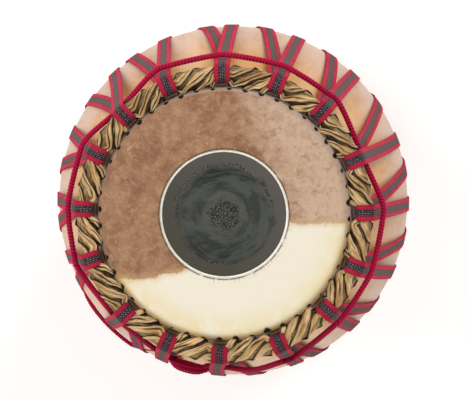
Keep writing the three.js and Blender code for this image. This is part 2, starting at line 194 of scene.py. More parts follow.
class LacingSettings(bpy.types.PropertyGroup):
    """Sizes and colours of the laced strap and of the tie cord."""

    loops: a_count("Loops", "Loops on each plait", 16, 3)
    first_loop: an_angle("First loop", "Angle of the first loop", 90)
    strap_width: a_length("Strap width", "Width of the strap", 10.6)
    strap_thickness: a_length("Strap thickness", "Thickness of the strap", 1.1)
    loop_inside: a_length("Loop", "Inner radius of the strap's loops round the plaits", 5.25)
    seat_gap: a_length("Seat gap", "Room between strap and wood", 0.3)
    knot_from_plait: a_length("Knot place", "Distance of the strap's knot from the plait", 34)
    knot_length: a_length("Knot length", "Length of the strap's knot", 15)
    cord_radius: a_length("Cord", "Radius of the tie cord", 2)
    cord_below_face: a_length("Cord place", "Distance of the cord from the treble face", 38)
    bundle_radius: a_length("Bundle", "Radius of the bundle of the cord's ends", 4.6)
    bundle_length: a_length("Bundle length", "Length of the bundle", 18)
    bundle_stand: a_length("Bundle stand", "How far the bundle stands out from the legs", 0.8)
    cord_sag: a_length("Cord sag", "How far the cord sags beside its bundle", 152)
    cord_slack: a_length("Cord slack", "How far the cord bows out between its bundle and the next leg", 3.5)
    crimson: a_colour("Crimson", "Edges of the strap", "c0203f")
    rose: a_colour("Rose", "Lit threads of the strap's edges", "d9496a")
    charcoal: a_colour("Charcoal", "Middle of the strap", "32272c")
    ash: a_colour("Ash", "Pale threads in the strap's middle", "b9b0b0")
    cord_red: a_colour("Cord red", "Tie cord", "b80f40")
    # Cord dark is painted shade, in the cord's grooves and low down.
    cord_dark: a_colour("Cord dark", "Grooves of the tie cord", "5a0620")


class StageSettings(bpy.types.PropertyGroup):
    """Camera, light and floor."""

    camera_height: a_length("Camera height", "Height of the camera above the treble face", 2078)
    camera_right: a_length("Camera right", "Distance of the camera from the axis along X", 44)
    camera_up: a_length("Camera up", "Distance of the camera from the axis along Y", 67)
    lens: bpy.props.FloatProperty(name="Lens", description="Focal length on a 36 mm sensor", default=246.5)
    floor: a_colour("Floor", "Pale floor", "fcfcfb")


# Shader maths


class Term:
    """One value of a shader: wraps an output socket and turns Python maths into Math nodes."""

    def __init__(self, tree, socket=None):
        self.tree = tree
        self.socket = socket

    def node(self, kind, inputs=None, output=0, **settings):
        """A new node of a type, with its settings and the values or links of its sockets. A value of
        hex digits is a colour."""
        node = self.tree.nodes.new(kind)
        for key, value in settings.items():
            setattr(node, key, value)
        for key, value in (inputs or {}).items():
            if isinstance(value, Term):
                self.tree.links.new(value.socket, node.inputs[key])
            else:
                node.inputs[key].default_value = colour(value) if isinstance(value, str) else value
        return Term(self.tree, node.outputs[output] if node.outputs else None)

    def math(self, operation, *values):
        """A Math node on values."""
        return self.node("ShaderNodeMath", dict(enumerate(values)), operation=operation)

    def __add__(self, other):
        return self.math("ADD", self, other)

    __radd__ = __add__

    def __sub__(self, other):
        return self.math("SUBTRACT", self, other)

    def __rsub__(self, other):
        return self.math("SUBTRACT", other, self)

    def __mul__(self, other):
        return self.math("MULTIPLY", self, other)

    __rmul__ = __mul__

    def __truediv__(self, other):
        return self.math("DIVIDE", self, other)

    def __rtruediv__(self, other):
        return self.math("DIVIDE", other, self)

    def __abs__(self):
        return self.math("ABSOLUTE", self)

    def sine(self):
        """Sine of the value."""
        return self.math("SINE", self)

    def hypot(self, other):
        """Length of a flat vector of this value and another."""
        return self.math("POWER", self * self + other * other, 0.5)

    def step(self, low, high):
        """Smooth step: 0 at low, 1 at high."""
        inputs = {"Value": self, "From Min": low, "From Max": high}
        return self.node("ShaderNodeMapRange", inputs, interpolation_type="SMOOTHSTEP")

    def step_mm(self, low, high):
        """Smooth step of a length, with low and high in millimetres."""
        return self.step(low * MM, high * MM)

    def mix(self, first, second):
        """A colour between two, with this value as the share of the second."""
        return self.node("ShaderNodeMix", {0: self, 6: first, 7: second}, output=2, data_type="RGBA")

    def scaled(self, scale):
        """A vector times a vector."""
        return self.node("ShaderNodeVectorMath", {0: self, 1: scale}, operation="MULTIPLY")

    def noise(self, scale, detail=3.0, roughness=0.6, distortion=0.0):
        """Noise on this vector, 0 to 1."""
        inputs = {"Vector": self, "Scale": scale, "Detail": detail}
        inputs |= {"Roughness": roughness, "Distortion": distortion}
        return self.node("ShaderNodeTexNoise", inputs)

    def attribute(self, name):
        """A number stored on the mesh's points."""
        return self.node("ShaderNodeAttribute", output="Fac", attribute_name=name)

    def vector(self, x, y, z=0.0):
        """A vector from three values."""
        return self.node("ShaderNodeCombineXYZ", {0: x, 1: y, 2: z})

    def place(self):
        """Object coordinates, and the same in X, Y and Z."""
        vector = self.node("ShaderNodeTexCoord", output="Object")
        return vector, *[vector.node("ShaderNodeSeparateXYZ", {0: vector}, output=axis) for axis in range(3)]


def coated(ground, *coats):
    """A colour under coats. Each coat is a mask, the share of it that shows, and its own colour."""
    for mask, share, tint in coats:
        ground = (mask * share).mix(ground, tint)
    return ground


def new_material(name):
    """An empty material, and the term that its shader maths starts from."""
    material = bpy.data.materials.new(name)
    material.use_nodes = True
    material.node_tree.nodes.clear()
    return material, Term(material.node_tree)


def finish(material, base, roughness, relief=None, depth=0.0, specular=0.5, glow=None):
    """Ends a material with its shader: colour, roughness, relief of a depth in millimetres and glow vary
    over the surface, and the specular level is the same all over."""
    inputs = {"Base Color": base, "Roughness": roughness, "Specular IOR Level": specular}
    if relief is not None:
        bump = {"Height": relief, "Distance": depth * MM, "Strength": 1.0}
        inputs["Normal"] = base.node("ShaderNodeBump", bump)
    if glow is not None:
        inputs |= {"Emission Color": glow, "Emission Strength": 1.0}
    shader = base.node("ShaderNodeBsdfPrincipled", inputs)
    base.node("ShaderNodeOutputMaterial", {"Surface": shader})
    return material


# Finishes

# Noise takes its scale, which is cells a metre where its vector is a place, then detail, roughness and
# distortion. A step takes the two values that it rises between.


def wood_finish(s):
    """Jackwood with streaks and pores: painted shade and warm bounce light make it honey near the heads, and
    a painted sheen pales the belly.
    """
    material, term = new_material("jackwood")
    place, _, _, z = term.place()
    streaks = place.scaled((1, 1, 0.06)).noise(90, 5, 0.6, 0.4)
    bands = place.scaled((1, 1, 0.03)).noise(26, 3, 0.5, 0.8)
    pores = place.scaled((1, 1, 0.05)).noise(650, 2, 0.5)
    belly = BASS_END + TREBLE_END - s.belly_from_treble
    wood = coated(
        s.pale,
        # Painted shade and warm bounce light near the heads, over a pale ground that is a painted sheen at
        # the belly.
        (abs(z - belly).step_mm(30, 200), 1, s.honey),
        (streaks.step(0.42, 0.72), 0.45, s.grain),
        (bands.step(0.45, 0.7), 0.35, "dfbb9c"),
        (pores.step(0.62, 0.74), 0.2, "a06a34"),
    )
    return finish(material, wood, streaks * 0.25 + 0.4, pores, 0.05, 0.18)


def ring_hide_finish(s, mouth):
    """Cow hide, brown above and cream below, with mottling, specks and scratches. It has painted shade in
    its holes, on the hem under the straps, along its opening's cut edge and, with stains, on the cream's
    bend. The mouth's radius places the bent edge."""
    material, term = new_material("treble_ring_hide")
    place, x, y, _ = term.place()
    radius = x.hypot(y)
    from_opening = radius - s.treble_opening
    from_edge = radius - mouth
    wander = place.noise(95, 4) - 0.5
    ragged = place.noise(600) - 0.5
    blotch = place.noise(62, 5, 0.62, 0.6)
    mottle = place.noise(190, 5, 0.7)
    flecks = place.scaled((1, 1.2, 1)).noise(520)
    fine = place.noise(1500)
    upper_right = (x * 0.95 + y * 0.35 + wander * (38 * MM)).step_mm(28, 58)
    stains = place.noise(120, 5, 0.72, 0.9).step(0.47, 0.63)
    scratches = term.vector((x + y) * 0.12, y - x).noise(300, 1, 0.3, 0.6).step(0.75, 0.78)
    brown = coated(
        s.brown,
        (blotch.step(0.40, 0.62), 0.8, s.russet),
        (mottle.step(0.46, 0.66), 0.55, s.blush),
        (upper_right, 0.75, "cbaf96"),
        (stains * upper_right, 0.6, "a9866a"),
        (1 - mottle.step(0.30, 0.45), 0.6, s.russet),
        (flecks.step(0.60, 0.70), 0.4, "d0ab8a"),
        (1 - flecks.step(0.30, 0.40), 0.45, "6f4730"),
        (fine.step(0.58, 0.74), 0.35, "7a5037"),
        (scratches, 0.3, "d8bfa2"),
        (place.noise(900, 1, 0.4).step(0.76, 0.8), 0.7, "e6d2b8"),
        (from_edge.step_mm(2.9, 4.5), x.step_mm(-70, 20) * 0.5 + 0.2, s.rim),
    )
    cream = coated(
        s.cream,
        (from_edge.step_mm(-16.5, 4.5), place.noise(70, 4, 0.6, 0.5).step(0.25, 0.6), s.straw),
        (mottle.step(0.5, 0.8), 0.3, "f1ebdb"),
        (fine.step(0.66, 0.78), 0.3, "b99a66"),
        # Darker tan on the cream's bend: partly staining, partly painted shade.
        (from_edge.step_mm(1, 5), 0.75, "a87a3e"),
    )
    border = x.step_mm(-52, 46) * (36 * MM) - 42 * MM
    above = y - border + wander * (7 * MM) + ragged * (3.4 * MM)
    fringe = above.step_mm(-4, 0.5) * (1 - above.step_mm(1, 4.5))
    round_opening = term.vector(x / radius * 130, y / radius * 130, radius * 90)
    hairs = round_opening.noise(1.0, 2, 0.5).step(0.58, 0.66) * (1 - from_opening.step_mm(1.8, 4.9))
    # Painted shadow along the cut edge of the ring's opening, broken by noise.
    cut_edge_shadow = (1 - from_opening.step_mm(0.8, 1.8)) * place.noise(260).step(0.25, 0.5)
    grime = place.noise(420, 3, 0.65).step(0.5, 0.72) * 0.6
    skin = coated(
        cream,
        (above.step_mm(-0.7, 1.1), 1, brown),
        (fringe, 0.4, "c2995f"),
        (hairs, 0.5, "3a2a1e"),
        (cut_edge_shadow, 0.8, "2e231b"),
        (1 - from_opening.step_mm(0.2, 0.45), 1, grime.mix("fbf6ea", "a8937a")),
        # Painted shade in the stitch holes, and on the hem under the straps.
        (term.attribute("hole").step(0.22, 0.5), 1, "0b0806"),
    )
    relief = blotch * 0.5 + mottle * 0.35 + fine * 0.2
    return finish(material, skin, mottle * 0.25 + 0.5, relief, 0.22, 0.35)


def pale_hide_finish(name, tint, stain):
    """Scraped pale hide with soft clouds, veins and fine grain."""
    material, term = new_material(name)
    place = term.place()[0]
    clouds = place.noise(35, 4, 0.6, 0.5)
    veins = place.noise(140, 3, 0.5, 1.2)
    fine = place.noise(1300)
    skin = coated(
        tint,
        (clouds.step(0.4, 0.7), 0.5, stain),
        (veins.step(0.5, 0.56) * (1 - veins.step(0.56, 0.62)), 0.25, stain),
        (fine.step(0.6, 0.75), 0.2, "8f6f47"),
    )
    return finish(material, skin, clouds * 0.2 + 0.5, fine + clouds * 0.4, 0.1, 0.35)


def patch_finish(s):
    """Black paste: smooth grey rim, rubbed dark rings, and a crackled dome."""
    material, term = new_material("tuning_paste")
    place, x, y, _ = term.place()
    radius = x.hypot(y)
    angle = term.math("ARCTAN2", y, x)
    swirl = term.vector(radius * 160, angle.sine() * 0.9, (angle + QUARTER).sine() * 0.9)
    rings = swirl.noise(1.3, 4, 0.6, 0.7)
    smudge = place.scaled((0.6, 1, 1)).noise(150, 4, 0.65, 0.8)
    grit = place.noise(1800)
    specks = place.noise(700, 2, 0.5)
    wander = place.noise(90, 3, 0.5) - 0.5
    wavering = radius + wander * (7 * MM)
    middle = 1 - wavering.step_mm(29, 33.5)
    dark = (rings * 0.65 + smudge * 0.35).step(0.43, 0.58)
    crescents = (abs(y) + wander * (14 * MM)).step_mm(15, 25) * middle
    lit = (x * 0.7 + y * 0.7 + wander * (20 * MM)).step_mm(-36, 40)
    edge = wavering.step_mm(30.5, 32) * (1 - wavering.step_mm(32.5, 34))
    edge = edge * place.noise(38, 2, 0.5).step(0.42, 0.6)
    voronoi = {"Vector": place, "Scale": 560.0, "Randomness": 1.0}
    cells = term.node("ShaderNodeTexVoronoi", voronoi, feature="DISTANCE_TO_EDGE")
    centre = 1 - (radius + wander * (9 * MM)).step_mm(7.5, 13)
    crack = (1 - cells.step(0.03, 0.17)) * centre
    halo = 1 - (radius + wander * (6 * MM)).step_mm(10, 15.5)
    paste = coated(
        s.grey,
        (lit, 1, "524e4a"),
        (middle, 1, "464943"),
        (middle * dark, 0.55, s.black),
        (crescents, dark * 0.35 + 0.15, "121412"),
        (edge * specks.step(0.46, 0.6), 0.85, s.crack),
        (edge * (1 - specks.step(0.30, 0.40)), 0.35, "75746d"),
        (grit.step(0.58, 0.72), 0.25, "6c6b66"),
        (halo, 0.7, "57554d"),
        (crack, 0.92, s.crack),
    )
    relief = grit * 0.15 + smudge * 0.2 - crack * 0.8
    return finish(material, paste, smudge * 0.25 + 0.42, relief, 0.25, 0.2)


def plait_finish(s):
    """Raw hide strands: streaks along each strand, painted shade in their creases, down their sides and in
    their splits so their crests stand pale, and a painted highlight at their tips.
    """
    material, term = new_material("plait_hide")
    place = term.place()[0]
    around = term.attribute("around")
    lane = term.vector(term.attribute("along") * 22, around.sine() * 1.6, (around + QUARTER).sine() * 1.6)
    streaks = lane.noise(2.6, 4, 0.65, 0.3)
    creases = 1 - abs(lane.noise(2.2, 2, 0.5, 0.2) - 0.5).step(0.006, 0.03)
    fine = place.noise(1700)
    hide = coated(
        s.tan,
        (streaks.step(0.38, 0.62), 1, s.light),
        (place.noise(60, 3, 0.5).step(0.45, 0.62), 0.5, "93653a"),
        # Painted highlight on each strand's tip by its hole.
        (term.attribute("tip"), 0.7, "e6cb97"),
        # Painted shade in the strands' creases.
        (creases, 0.45, "2c1c0c"),
        (fine.step(0.6, 0.75), 0.25, s.dark),
        # Painted shade down each strand's sides, in its split and on the core.
        (1 - term.attribute("crest").step(0.2, 0.8), 0.97, s.dark),
    )
    relief = streaks * 0.5 - creases * 0.4 + fine * 0.12
    return finish(material, hide, streaks * 0.2 + 0.45, relief, 0.7, 0.1)


def painted_low_shade(y):
    """Painted shade on strap and cord, darker towards -Y: 1 low down, 0 higher up."""
    return 1 - y.step_mm(-120, -45)


def webbing_finish(s):
    """Woven strap: a charcoal middle with pale specks between two crimson edges, ribbed both ways. It has
    painted shade near the plaits, at its outer edges and low down, and a greyer painted haze out on the
    belly.
    """
    material, term = new_material("strap_webbing")
    place, _, y, _ = term.place()
    across = term.attribute("across")
    aside = abs(across)
    near = term.attribute("near")
    warp = (across * (TAU * 4)).sine()
    ribs = abs((across * (TAU * 1.5)).sine()) * 4
    chevron = (term.attribute("along") * (TAU / (1.9 * MM)) + ribs).sine() * 0.5 + 0.5
    weave = (warp * 0.5 + 0.5) * 0.4 + chevron * 0.6
    fuzz = place.noise(900)
    specks = weave.step(0.62, 0.85) * fuzz.step(0.35, 0.6)
    # Painted shade darkens the middle near the plaits. Further off it is greyer, a painted haze of reflected
    # light.
    middle = coated("5a4b47", (near, 1, s.charcoal), (specks, near * 0.28 + 0.25, s.ash))
    red = coated(
        s.crimson,
        (weave.step(0.5, 0.9), near * 0.3 + 0.35, s.rose),
        (place.noise(60, 2, 0.5).step(0.45, 0.65), 0.3, "96102f"),
        # Painted shade on the red edges near the plaits.
        (near, 0.42, "741029"),
    )
    welt = aside.step(0.36, 0.42) * (1 - aside.step(0.42, 0.48))
    threads = coated(
        middle,
        ((aside + (fuzz - 0.5) * 0.06).step(0.39, 0.45), 1, red),
        (welt, 0.5, "3a0a16"),
        # Painted shade along the strap's outer edges.
        (aside.step(0.93, 0.99), 0.5, "6e0f28"),
        # Painted shade, darker towards -Y.
        (painted_low_shade(y), 0.34, "2c0a13"),
    )
    relief = weave * 0.6 + fuzz * 0.3 - welt * 0.5
    return finish(material, threads, fuzz * 0.2 + 0.7, relief, 0.3, 0.06)


def cord_finish(s):
    """Twisted crimson cord: fine yarns across the plies, painted shade in the grooves between them, and
    painted shade low down.
    """
    material, term = new_material("tie_cord")
    place, _, y, _ = term.place()
    turned_yarns = term.attribute("along") * (TAU / (0.9 * MM)) - term.attribute("around") * 2
    yarn = turned_yarns.sine() * 0.5 + 0.5
    fuzz = place.noise(1200)
    red = coated(
        s.cord_red,
        (yarn, 0.35, "d2305c"),
        # Painted shade in the grooves between the plies.
        (1 - term.attribute("crest").step(0.05, 0.75), 0.95, s.cord_dark),
        (fuzz.step(0.6, 0.75), 0.25, "e0587c"),
        # Painted shade, darker towards -Y.
        (painted_low_shade(y), 0.4, s.cord_dark),
    )
    return finish(material, red, fuzz * 0.2 + 0.62, yarn * 0.6 + fuzz * 0.4, 0.2, 0.06)


def reed_finish():
    """Split reed: pale straw with fibres along it."""
    material, term = new_material("reed")
    fibres = term.place()[0].scaled((1, 1, 8)).noise(800)
    straw = fibres.step(0.35, 0.7).mix("cbb074", "9c7f45")
    return finish(material, straw, fibres * 0.2 + 0.6, fibres, 0.05)


def floor_finish(s):
    """Pale matt floor with a barely visible tone. Far from the drum, where the lights fall off, it glows
    more, so that it stays white out to its edge."""
    material, term = new_material("pale_floor")
    place, x, y, _ = term.place()
    tone = place.noise(3, 2, 0.5)
    near_glow = (0.22, 0.22, 0.22, 1)
    far_glow = (0.75, 0.75, 0.75, 1)
    glow = x.hypot(y).step(1.0, 4.5).mix(near_glow, far_glow)
    ground = (tone * 0.05).mix(s.floor, "e8e8e6")
    return finish(material, ground, tone * 0.1 + 0.8, glow=glow)


# Outlines in the half plane of radius and height


def polar(angle):
    """Unit vectors at angles."""
    return np.stack([np.cos(angle), np.sin(angle)], axis=-1)


def circle(count):
    """Angles spread evenly round a circle."""
    return np.linspace(0, TAU, count, endpoint=False)


def arc(centre, radius, start, end, steps):
    """Arc: the centre plus the radius times unit vectors from one angle to another."""
    return np.asarray(centre) + radius * polar(np.linspace(start, end, steps))


def line(start, end, steps):
    """Points spread evenly from one point to another."""
    return np.asarray(start) + np.linspace(0, 1, steps)[:, None] * (np.asarray(end) - np.asarray(start))


def joined(*parts):
    """Runs of points joined by straight lines. A number between two runs counts the points of the line
    from one to the other, with its ends, and a last number closes the outline."""
    runs = []
    for i, part in enumerate(parts):
        if isinstance(part, int):
            following = parts[(i + 1) % len(parts)]
            part = line(parts[i - 1][-1], following[0], part)[1:-1]
        runs.append(part)
    return np.concatenate(runs)


def touching_normal(near, near_radius, far, far_radius):
    """Angle of the outward normal of the line that touches two circles, the near one from its axis
    side where its radius is negative: cos(angle - span's angle) = (near radius - far radius) / span."""
    span = np.asarray(far) - np.asarray(near)
    lean = math.acos((near_radius - far_radius) / np.hypot(*span))
    angles = math.atan2(span[1], span[0]) + np.array([lean, -lean])
    best = angles[np.argmax(np.cos(angles))]
    return math.atan2(math.sin(best), math.cos(best))


def belly_centre(shell):
    """Centre of the belly's arc."""
    return np.array([BELLY_RADIUS - shell.belly_arc, TREBLE_END - shell.belly_from_treble])


class Mouth:
    """One mouth of the shell. Heights count outwards from the shell's end, and out is the way out."""

    def __init__(self, radius, end, out, stack, shell):
        self.end = end
        self.out = out
        self.stack = stack
        self.normal = touching_normal((radius, end), 0, belly_centre(shell), shell.belly_arc)
        self.slope = abs(self.normal)
        self.round = shell.edge_round
        inset = self.round * (1 - math.sin(self.slope)) / math.cos(self.slope)
        self.edge_centre = np.array([radius - inset, -self.round])

    def place(self, points):
        """Heights of this mouth as heights of the drum."""
        return np.stack([points[:, 0], self.end + self.out * points[:, 1]], axis=-1)

    def edge(self, offset, steps):
        """The rounded edge, set off outwards."""
        return arc(self.edge_centre, self.round + offset, QUARTER, self.slope, steps)

    def down(self, skirt):
        """The way down the wood, as long as a skirt."""
        return skirt * np.array([math.sin(self.slope), -math.cos(self.slope)])


def mouths(shell):
    """The treble and the bass mouth."""
    treble = Mouth(shell.treble_mouth, TREBLE_END, 1, TREBLE_FACE - TREBLE_END, shell)
    bass = Mouth(shell.bass_mouth, BASS_END, -1, BASS_END - BASS_FACE, shell)
    return treble, bass


def shell_outline(shell):
    """Closed outline of the wood: mouth, cone, belly arc, cone, mouth, and the bore back up."""
    treble, bass = mouths(shell)
    centre = belly_centre(shell)
    bore = shell.belly_arc - shell.belly_wall
    upper = (shell.treble_mouth - shell.mouth_wall, TREBLE_END)
    lower = (shell.bass_mouth - shell.mouth_wall, BASS_END)
    low_normal = touching_normal(lower, 0, centre, bore)
    high_normal = touching_normal(upper, 0, centre, bore)
    outside = arc(centre, shell.belly_arc, treble.normal, bass.normal, 60)
    inside = arc(centre, bore, low_normal, high_normal, 30)
    top_edge = treble.place(treble.edge(0, 10))
    low_edge = bass.place(bass.edge(0, 10))[::-1]
    return joined([upper], 6, top_edge, 24, outside, 24, low_edge, 6, [lower], 12, inside, 12)


def skin_outline(mouth, inner, outer, opening, skirt):
    """Closed outline of a skin: flat over the mouth, round the edge and down a skirt, between two
    offsets from the wood. The edge of its opening and the end of its skirt are rounded."""
    half = (outer - inner) / 2
    top = mouth.edge(outer, 22)
    low = mouth.edge(inner, 22)
    lip = arc((opening + half, (inner + outer) / 2), half, 3 * QUARTER, QUARTER, 9)
    end = (top[-1] + low[-1]) / 2 + mouth.down(skirt)
    hem = arc(end, half, mouth.slope, mouth.slope - math.pi, 9)
    return mouth.place(joined(lip, 26, top, 10, hem, 10, low[::-1], 14))


PIN_PRICK = 0.5 * MM


def disc_outline(mouth, inner, outer, skirt):
    """As skin_outline, with a pin-prick at its centre that the caller's caps close."""
    top = mouth.edge(outer, 14)
    low = mouth.edge(inner, 14)
    hem = np.stack([top[-1], low[-1]]) + mouth.down(skirt)
    start = [(PIN_PRICK, outer)]
    end = [(PIN_PRICK, inner)]
    return mouth.place(joined(start, 240, top, 2, hem, 2, low[::-1], 240, end))


# Surfaces


def about_axis(radius, turn, height):
    """Points at radii, turns about the axis and heights."""
    radius, turn, height = np.broadcast_arrays(radius, turn, height)
    return np.concatenate([radius[..., None] * polar(turn), height[..., None]], axis=-1)


def turned(outline, segments):
    """Surface of revolution: each point of the outline (radius, height) at every angle about the axis."""
    return about_axis(outline[:, :1], circle(segments), outline[:, 1:])


def unit(vectors):
    """Vectors of length one."""
    return vectors / np.linalg.norm(vectors, axis=-1, keepdims=True)


def run(path):
    """How far along a path each of its points is."""
    return np.concatenate([[0.0], np.linalg.norm(np.diff(path, axis=0), axis=-1).cumsum()])


def swept(path, up, sections, closed=False):
    """A profile carried along a path: each path point plus the profile's first number times the side
    direction and its second times the up direction, where side = path direction x up."""
    if closed:
        ahead = np.roll(path, -1, axis=0) - np.roll(path, 1, axis=0)
    else:
        ahead = np.gradient(path, axis=0)
    ahead = unit(ahead)
    up = unit(up - (up * ahead).sum(-1, keepdims=True) * ahead)
    side = np.cross(ahead, up)
    sections = np.broadcast_to(sections, (len(path), *np.shape(sections)[-2:]))
    return path[:, None] + sections[..., :1] * side[:, None] + sections[..., 1:] * up[:, None]


def grid(points, wrap=(False, True), caps=False, **attributes):
    """One grid of a piece: points by row and column, which ways it joins up, and numbers on its points."""
    return {"points": points, "wrap": wrap, "caps": caps, "attributes": attributes}


def faces_of(part, start):
    """Quads between neighbouring rows and columns, and the two end polygons, counted from start."""
    rows, columns = part["points"].shape[:2]
    index = start + np.arange(rows * columns).reshape(rows, columns)
    ends = [index[0].tolist(), index[-1, ::-1].tolist()] if part["caps"] else []
    if part["wrap"][0]:
        index = np.vstack([index, index[:1]])
    if part["wrap"][1]:
        index = np.hstack([index, index[:, :1]])
    quads = np.stack([index[:-1, :-1], index[:-1, 1:], index[1:, 1:], index[1:, :-1]], axis=-1)
    return quads.reshape(-1, 4), ends


def outward(part, quads, ends):
    """The same faces turned, if need be, so that the volume they enclose is positive."""
    points = part["points"].reshape(-1, 3)
    base = quads.min()
    a, b, c, d = (points[quads[:, i] - base] for i in range(4))
    volume = (a * np.cross(b, c)).sum() + (a * np.cross(c, d)).sum()
    for end in ends:
        p = points[np.array(end) - base]
        volume -= (p[0] * np.cross(p[1:-1], p[2:])).sum()
    if volume < 0:
        quads = quads[:, ::-1]
    else:
        ends = [end[::-1] for end in ends]
    return quads.tolist() + ends


def make_piece(name, grids, material, body=None, stands_for=()):
    """A mesh object of one or more grids, smooth, with its finish, its body and the nodes it replaces."""
    faces = []
    start = 0
    for part in grids:
        faces += outward(part, *faces_of(part, start))
        start += part["points"].shape[0] * part["points"].shape[1]
    points = np.concatenate([part["points"].reshape(-1, 3) for part in grids])
    mesh = bpy.data.meshes.new(name)
    mesh.from_pydata(points.tolist(), [], faces)
    for key in grids[0]["attributes"]:
        shapes = [np.broadcast_to(part["attributes"][key], part["points"].shape[:2]) for part in grids]
        values = np.concatenate([shape.ravel() for shape in shapes]).astype(np.float32)
        mesh.attributes.new(key, "FLOAT", "POINT").data.foreach_set("value", values)
    mesh.polygons.foreach_set("use_smooth", np.ones(len(faces), bool))
    mesh.materials.append(material)
    mesh.validate()
    mesh.update()
    piece = bpy.data.objects.new(name, mesh)
    bpy.context.scene.collection.objects.link(piece)
    if stands_for:
        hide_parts(*stands_for)
    if body:
        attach(piece, body)
    return piece


def wave(angle, seed, lowest, highest):
    """A smooth wave that closes on itself: a seeded sum of sines of whole multiples of the angle."""
    random = np.random.default_rng(seed)
    orders = np.arange(lowest, highest + 1)
    sizes = random.normal(size=len(orders)) / math.sqrt(len(orders))
    phases = random.uniform(0, TAU, len(orders))
    return (sizes * np.sin(np.asarray(angle)[..., None] * orders + phases)).sum(-1)


def settings(context, *names):
    """Groups of settings by name."""
    return [getattr(context.scene, "mridangam_" + name) for name in names]


# Shell and heads


class MRIDANGAM_OT_shell(bpy.types.Operator):
    """Turned jackwood shell with its bore."""

    bl_idname = "mridangam.shell"
    bl_label = "Shell"

    def execute(self, context):
        (s,) = settings(context, "shell")
        parts = [grid(turned(shell_outline(s), 240), (True, True))]
        make_piece("turned_shell", parts, wood_finish(s), "drum", ["shell"])
        return {"FINISHED"}


RIM_SEGMENTS = 720
HOLE_BELOW_FACE = 5.3 * MM
HOLE_WIDTH = 1.8 * MM
HOLE_HEIGHT = 2.4 * MM
STRAP_HALF_ANGLE = math.radians(4.2)
HEM_FROM_PLAIT = 7.4 * MM
HEM_RADIUS = 1.2 * MM
HEM_HOLE_WIDTH = 1.5 * MM
HEM_THINNER = 0.15
HEM_SHADE = 0.42
RIDGE_INSET = 0.5 * MM
RIDGE_HALF_WIDTH = 0.65 * MM
RIDGE_HEIGHT = 2.1 * MM


def nearest_hole(points, plait, lacing):
    """Angle of the stitch hole nearest to each point, the distance to it round the rim, and its size.
    The holes are spaced evenly round the head and a little unlike in size."""
    angle = np.arctan2(points[..., 1], points[..., 0]) - lacing.first_loop - plait.first_hole
    spacing = TAU / (plait.strands * plait.turns)
    hole = np.round(angle / spacing) * spacing
    return hole, (angle - hole) * np.hypot(points[..., 0], points[..., 1]), 1 + 0.2 * wave(hole, 6, 3, 20)


def hole_pits(points, mouth, plait, lacing):
    """How much of a hole there is at each point of a skin: round spots on the bent edge, each a bell of
    the distance along the edge and along the rim."""
    hole, aside, size = nearest_hole(points, plait, lacing)
    face = mouth.end + mouth.out * mouth.stack
    below = (face - points[..., 2]) * mouth.out
    along = below - HOLE_BELOW_FACE - 0.5 * MM * wave(hole, 5, 3, 20)
    outer = np.hypot(points[..., 0], points[..., 1]) > mouth.edge_centre[0] + 3 * MM
    return np.exp(-((aside / (HOLE_WIDTH * size)) ** 2) - (along / (HOLE_HEIGHT * size)) ** 2) * outer


def pitted_ring(mouth, thickness, opening, s, plait, lacing):
    """A head's outer ring of hide: the turned skin, drawn in towards the axis at its stitch holes."""
    outline = skin_outline(mouth, mouth.stack - thickness, mouth.stack, opening, s.skirt)
    points = turned(outline, RIM_SEGMENTS)
    hole = hole_pits(points, mouth, plait, lacing)
    flat = points[..., :2]
    points[..., :2] = flat * (1 - s.hole_depth * hole / np.linalg.norm(flat, axis=-1))[..., None]
    # The hole numbers carry the painted shade of the holes into the finish.
    return grid(points, (True, True), hole=hole)


def clear_of(turn, straps):
    """How far angles are clear of the straps: 0 at a strap's middle, 1 from its edge on."""
    from_strap = np.abs((turn[:, None] - straps + math.pi) % TAU - math.pi).min(axis=1)
    return 1 - np.exp(-((from_strap / STRAP_HALF_ANGLE) ** 6))


def hem_grid(hoop, plait, lacing, straps):
    """The skins' hem under the plait: a round ring inside the plait's middle, a little thinner and in
    shade where a strap presses on it. Each hole is a bell of the distance round the rim."""
    middle = hoop - np.array([HEM_FROM_PLAIT, 0])
    around = circle(16)
    centre = turned(np.tile(middle, (len(around), 1)), RIM_SEGMENTS)
    outside = turned(middle + HEM_RADIUS * polar(around), RIM_SEGMENTS)
    clear = clear_of(circle(RIM_SEGMENTS), straps)
    ring = centre + (outside - centre) * (1 - HEM_THINNER * (1 - clear))[:, None]
    _, aside, size = nearest_hole(ring, plait, lacing)
    hole = clear * np.exp(-((aside / (HEM_HOLE_WIDTH * size)) ** 2)) + HEM_SHADE * (1 - clear)
    return grid(ring, (True, True), hole=hole)


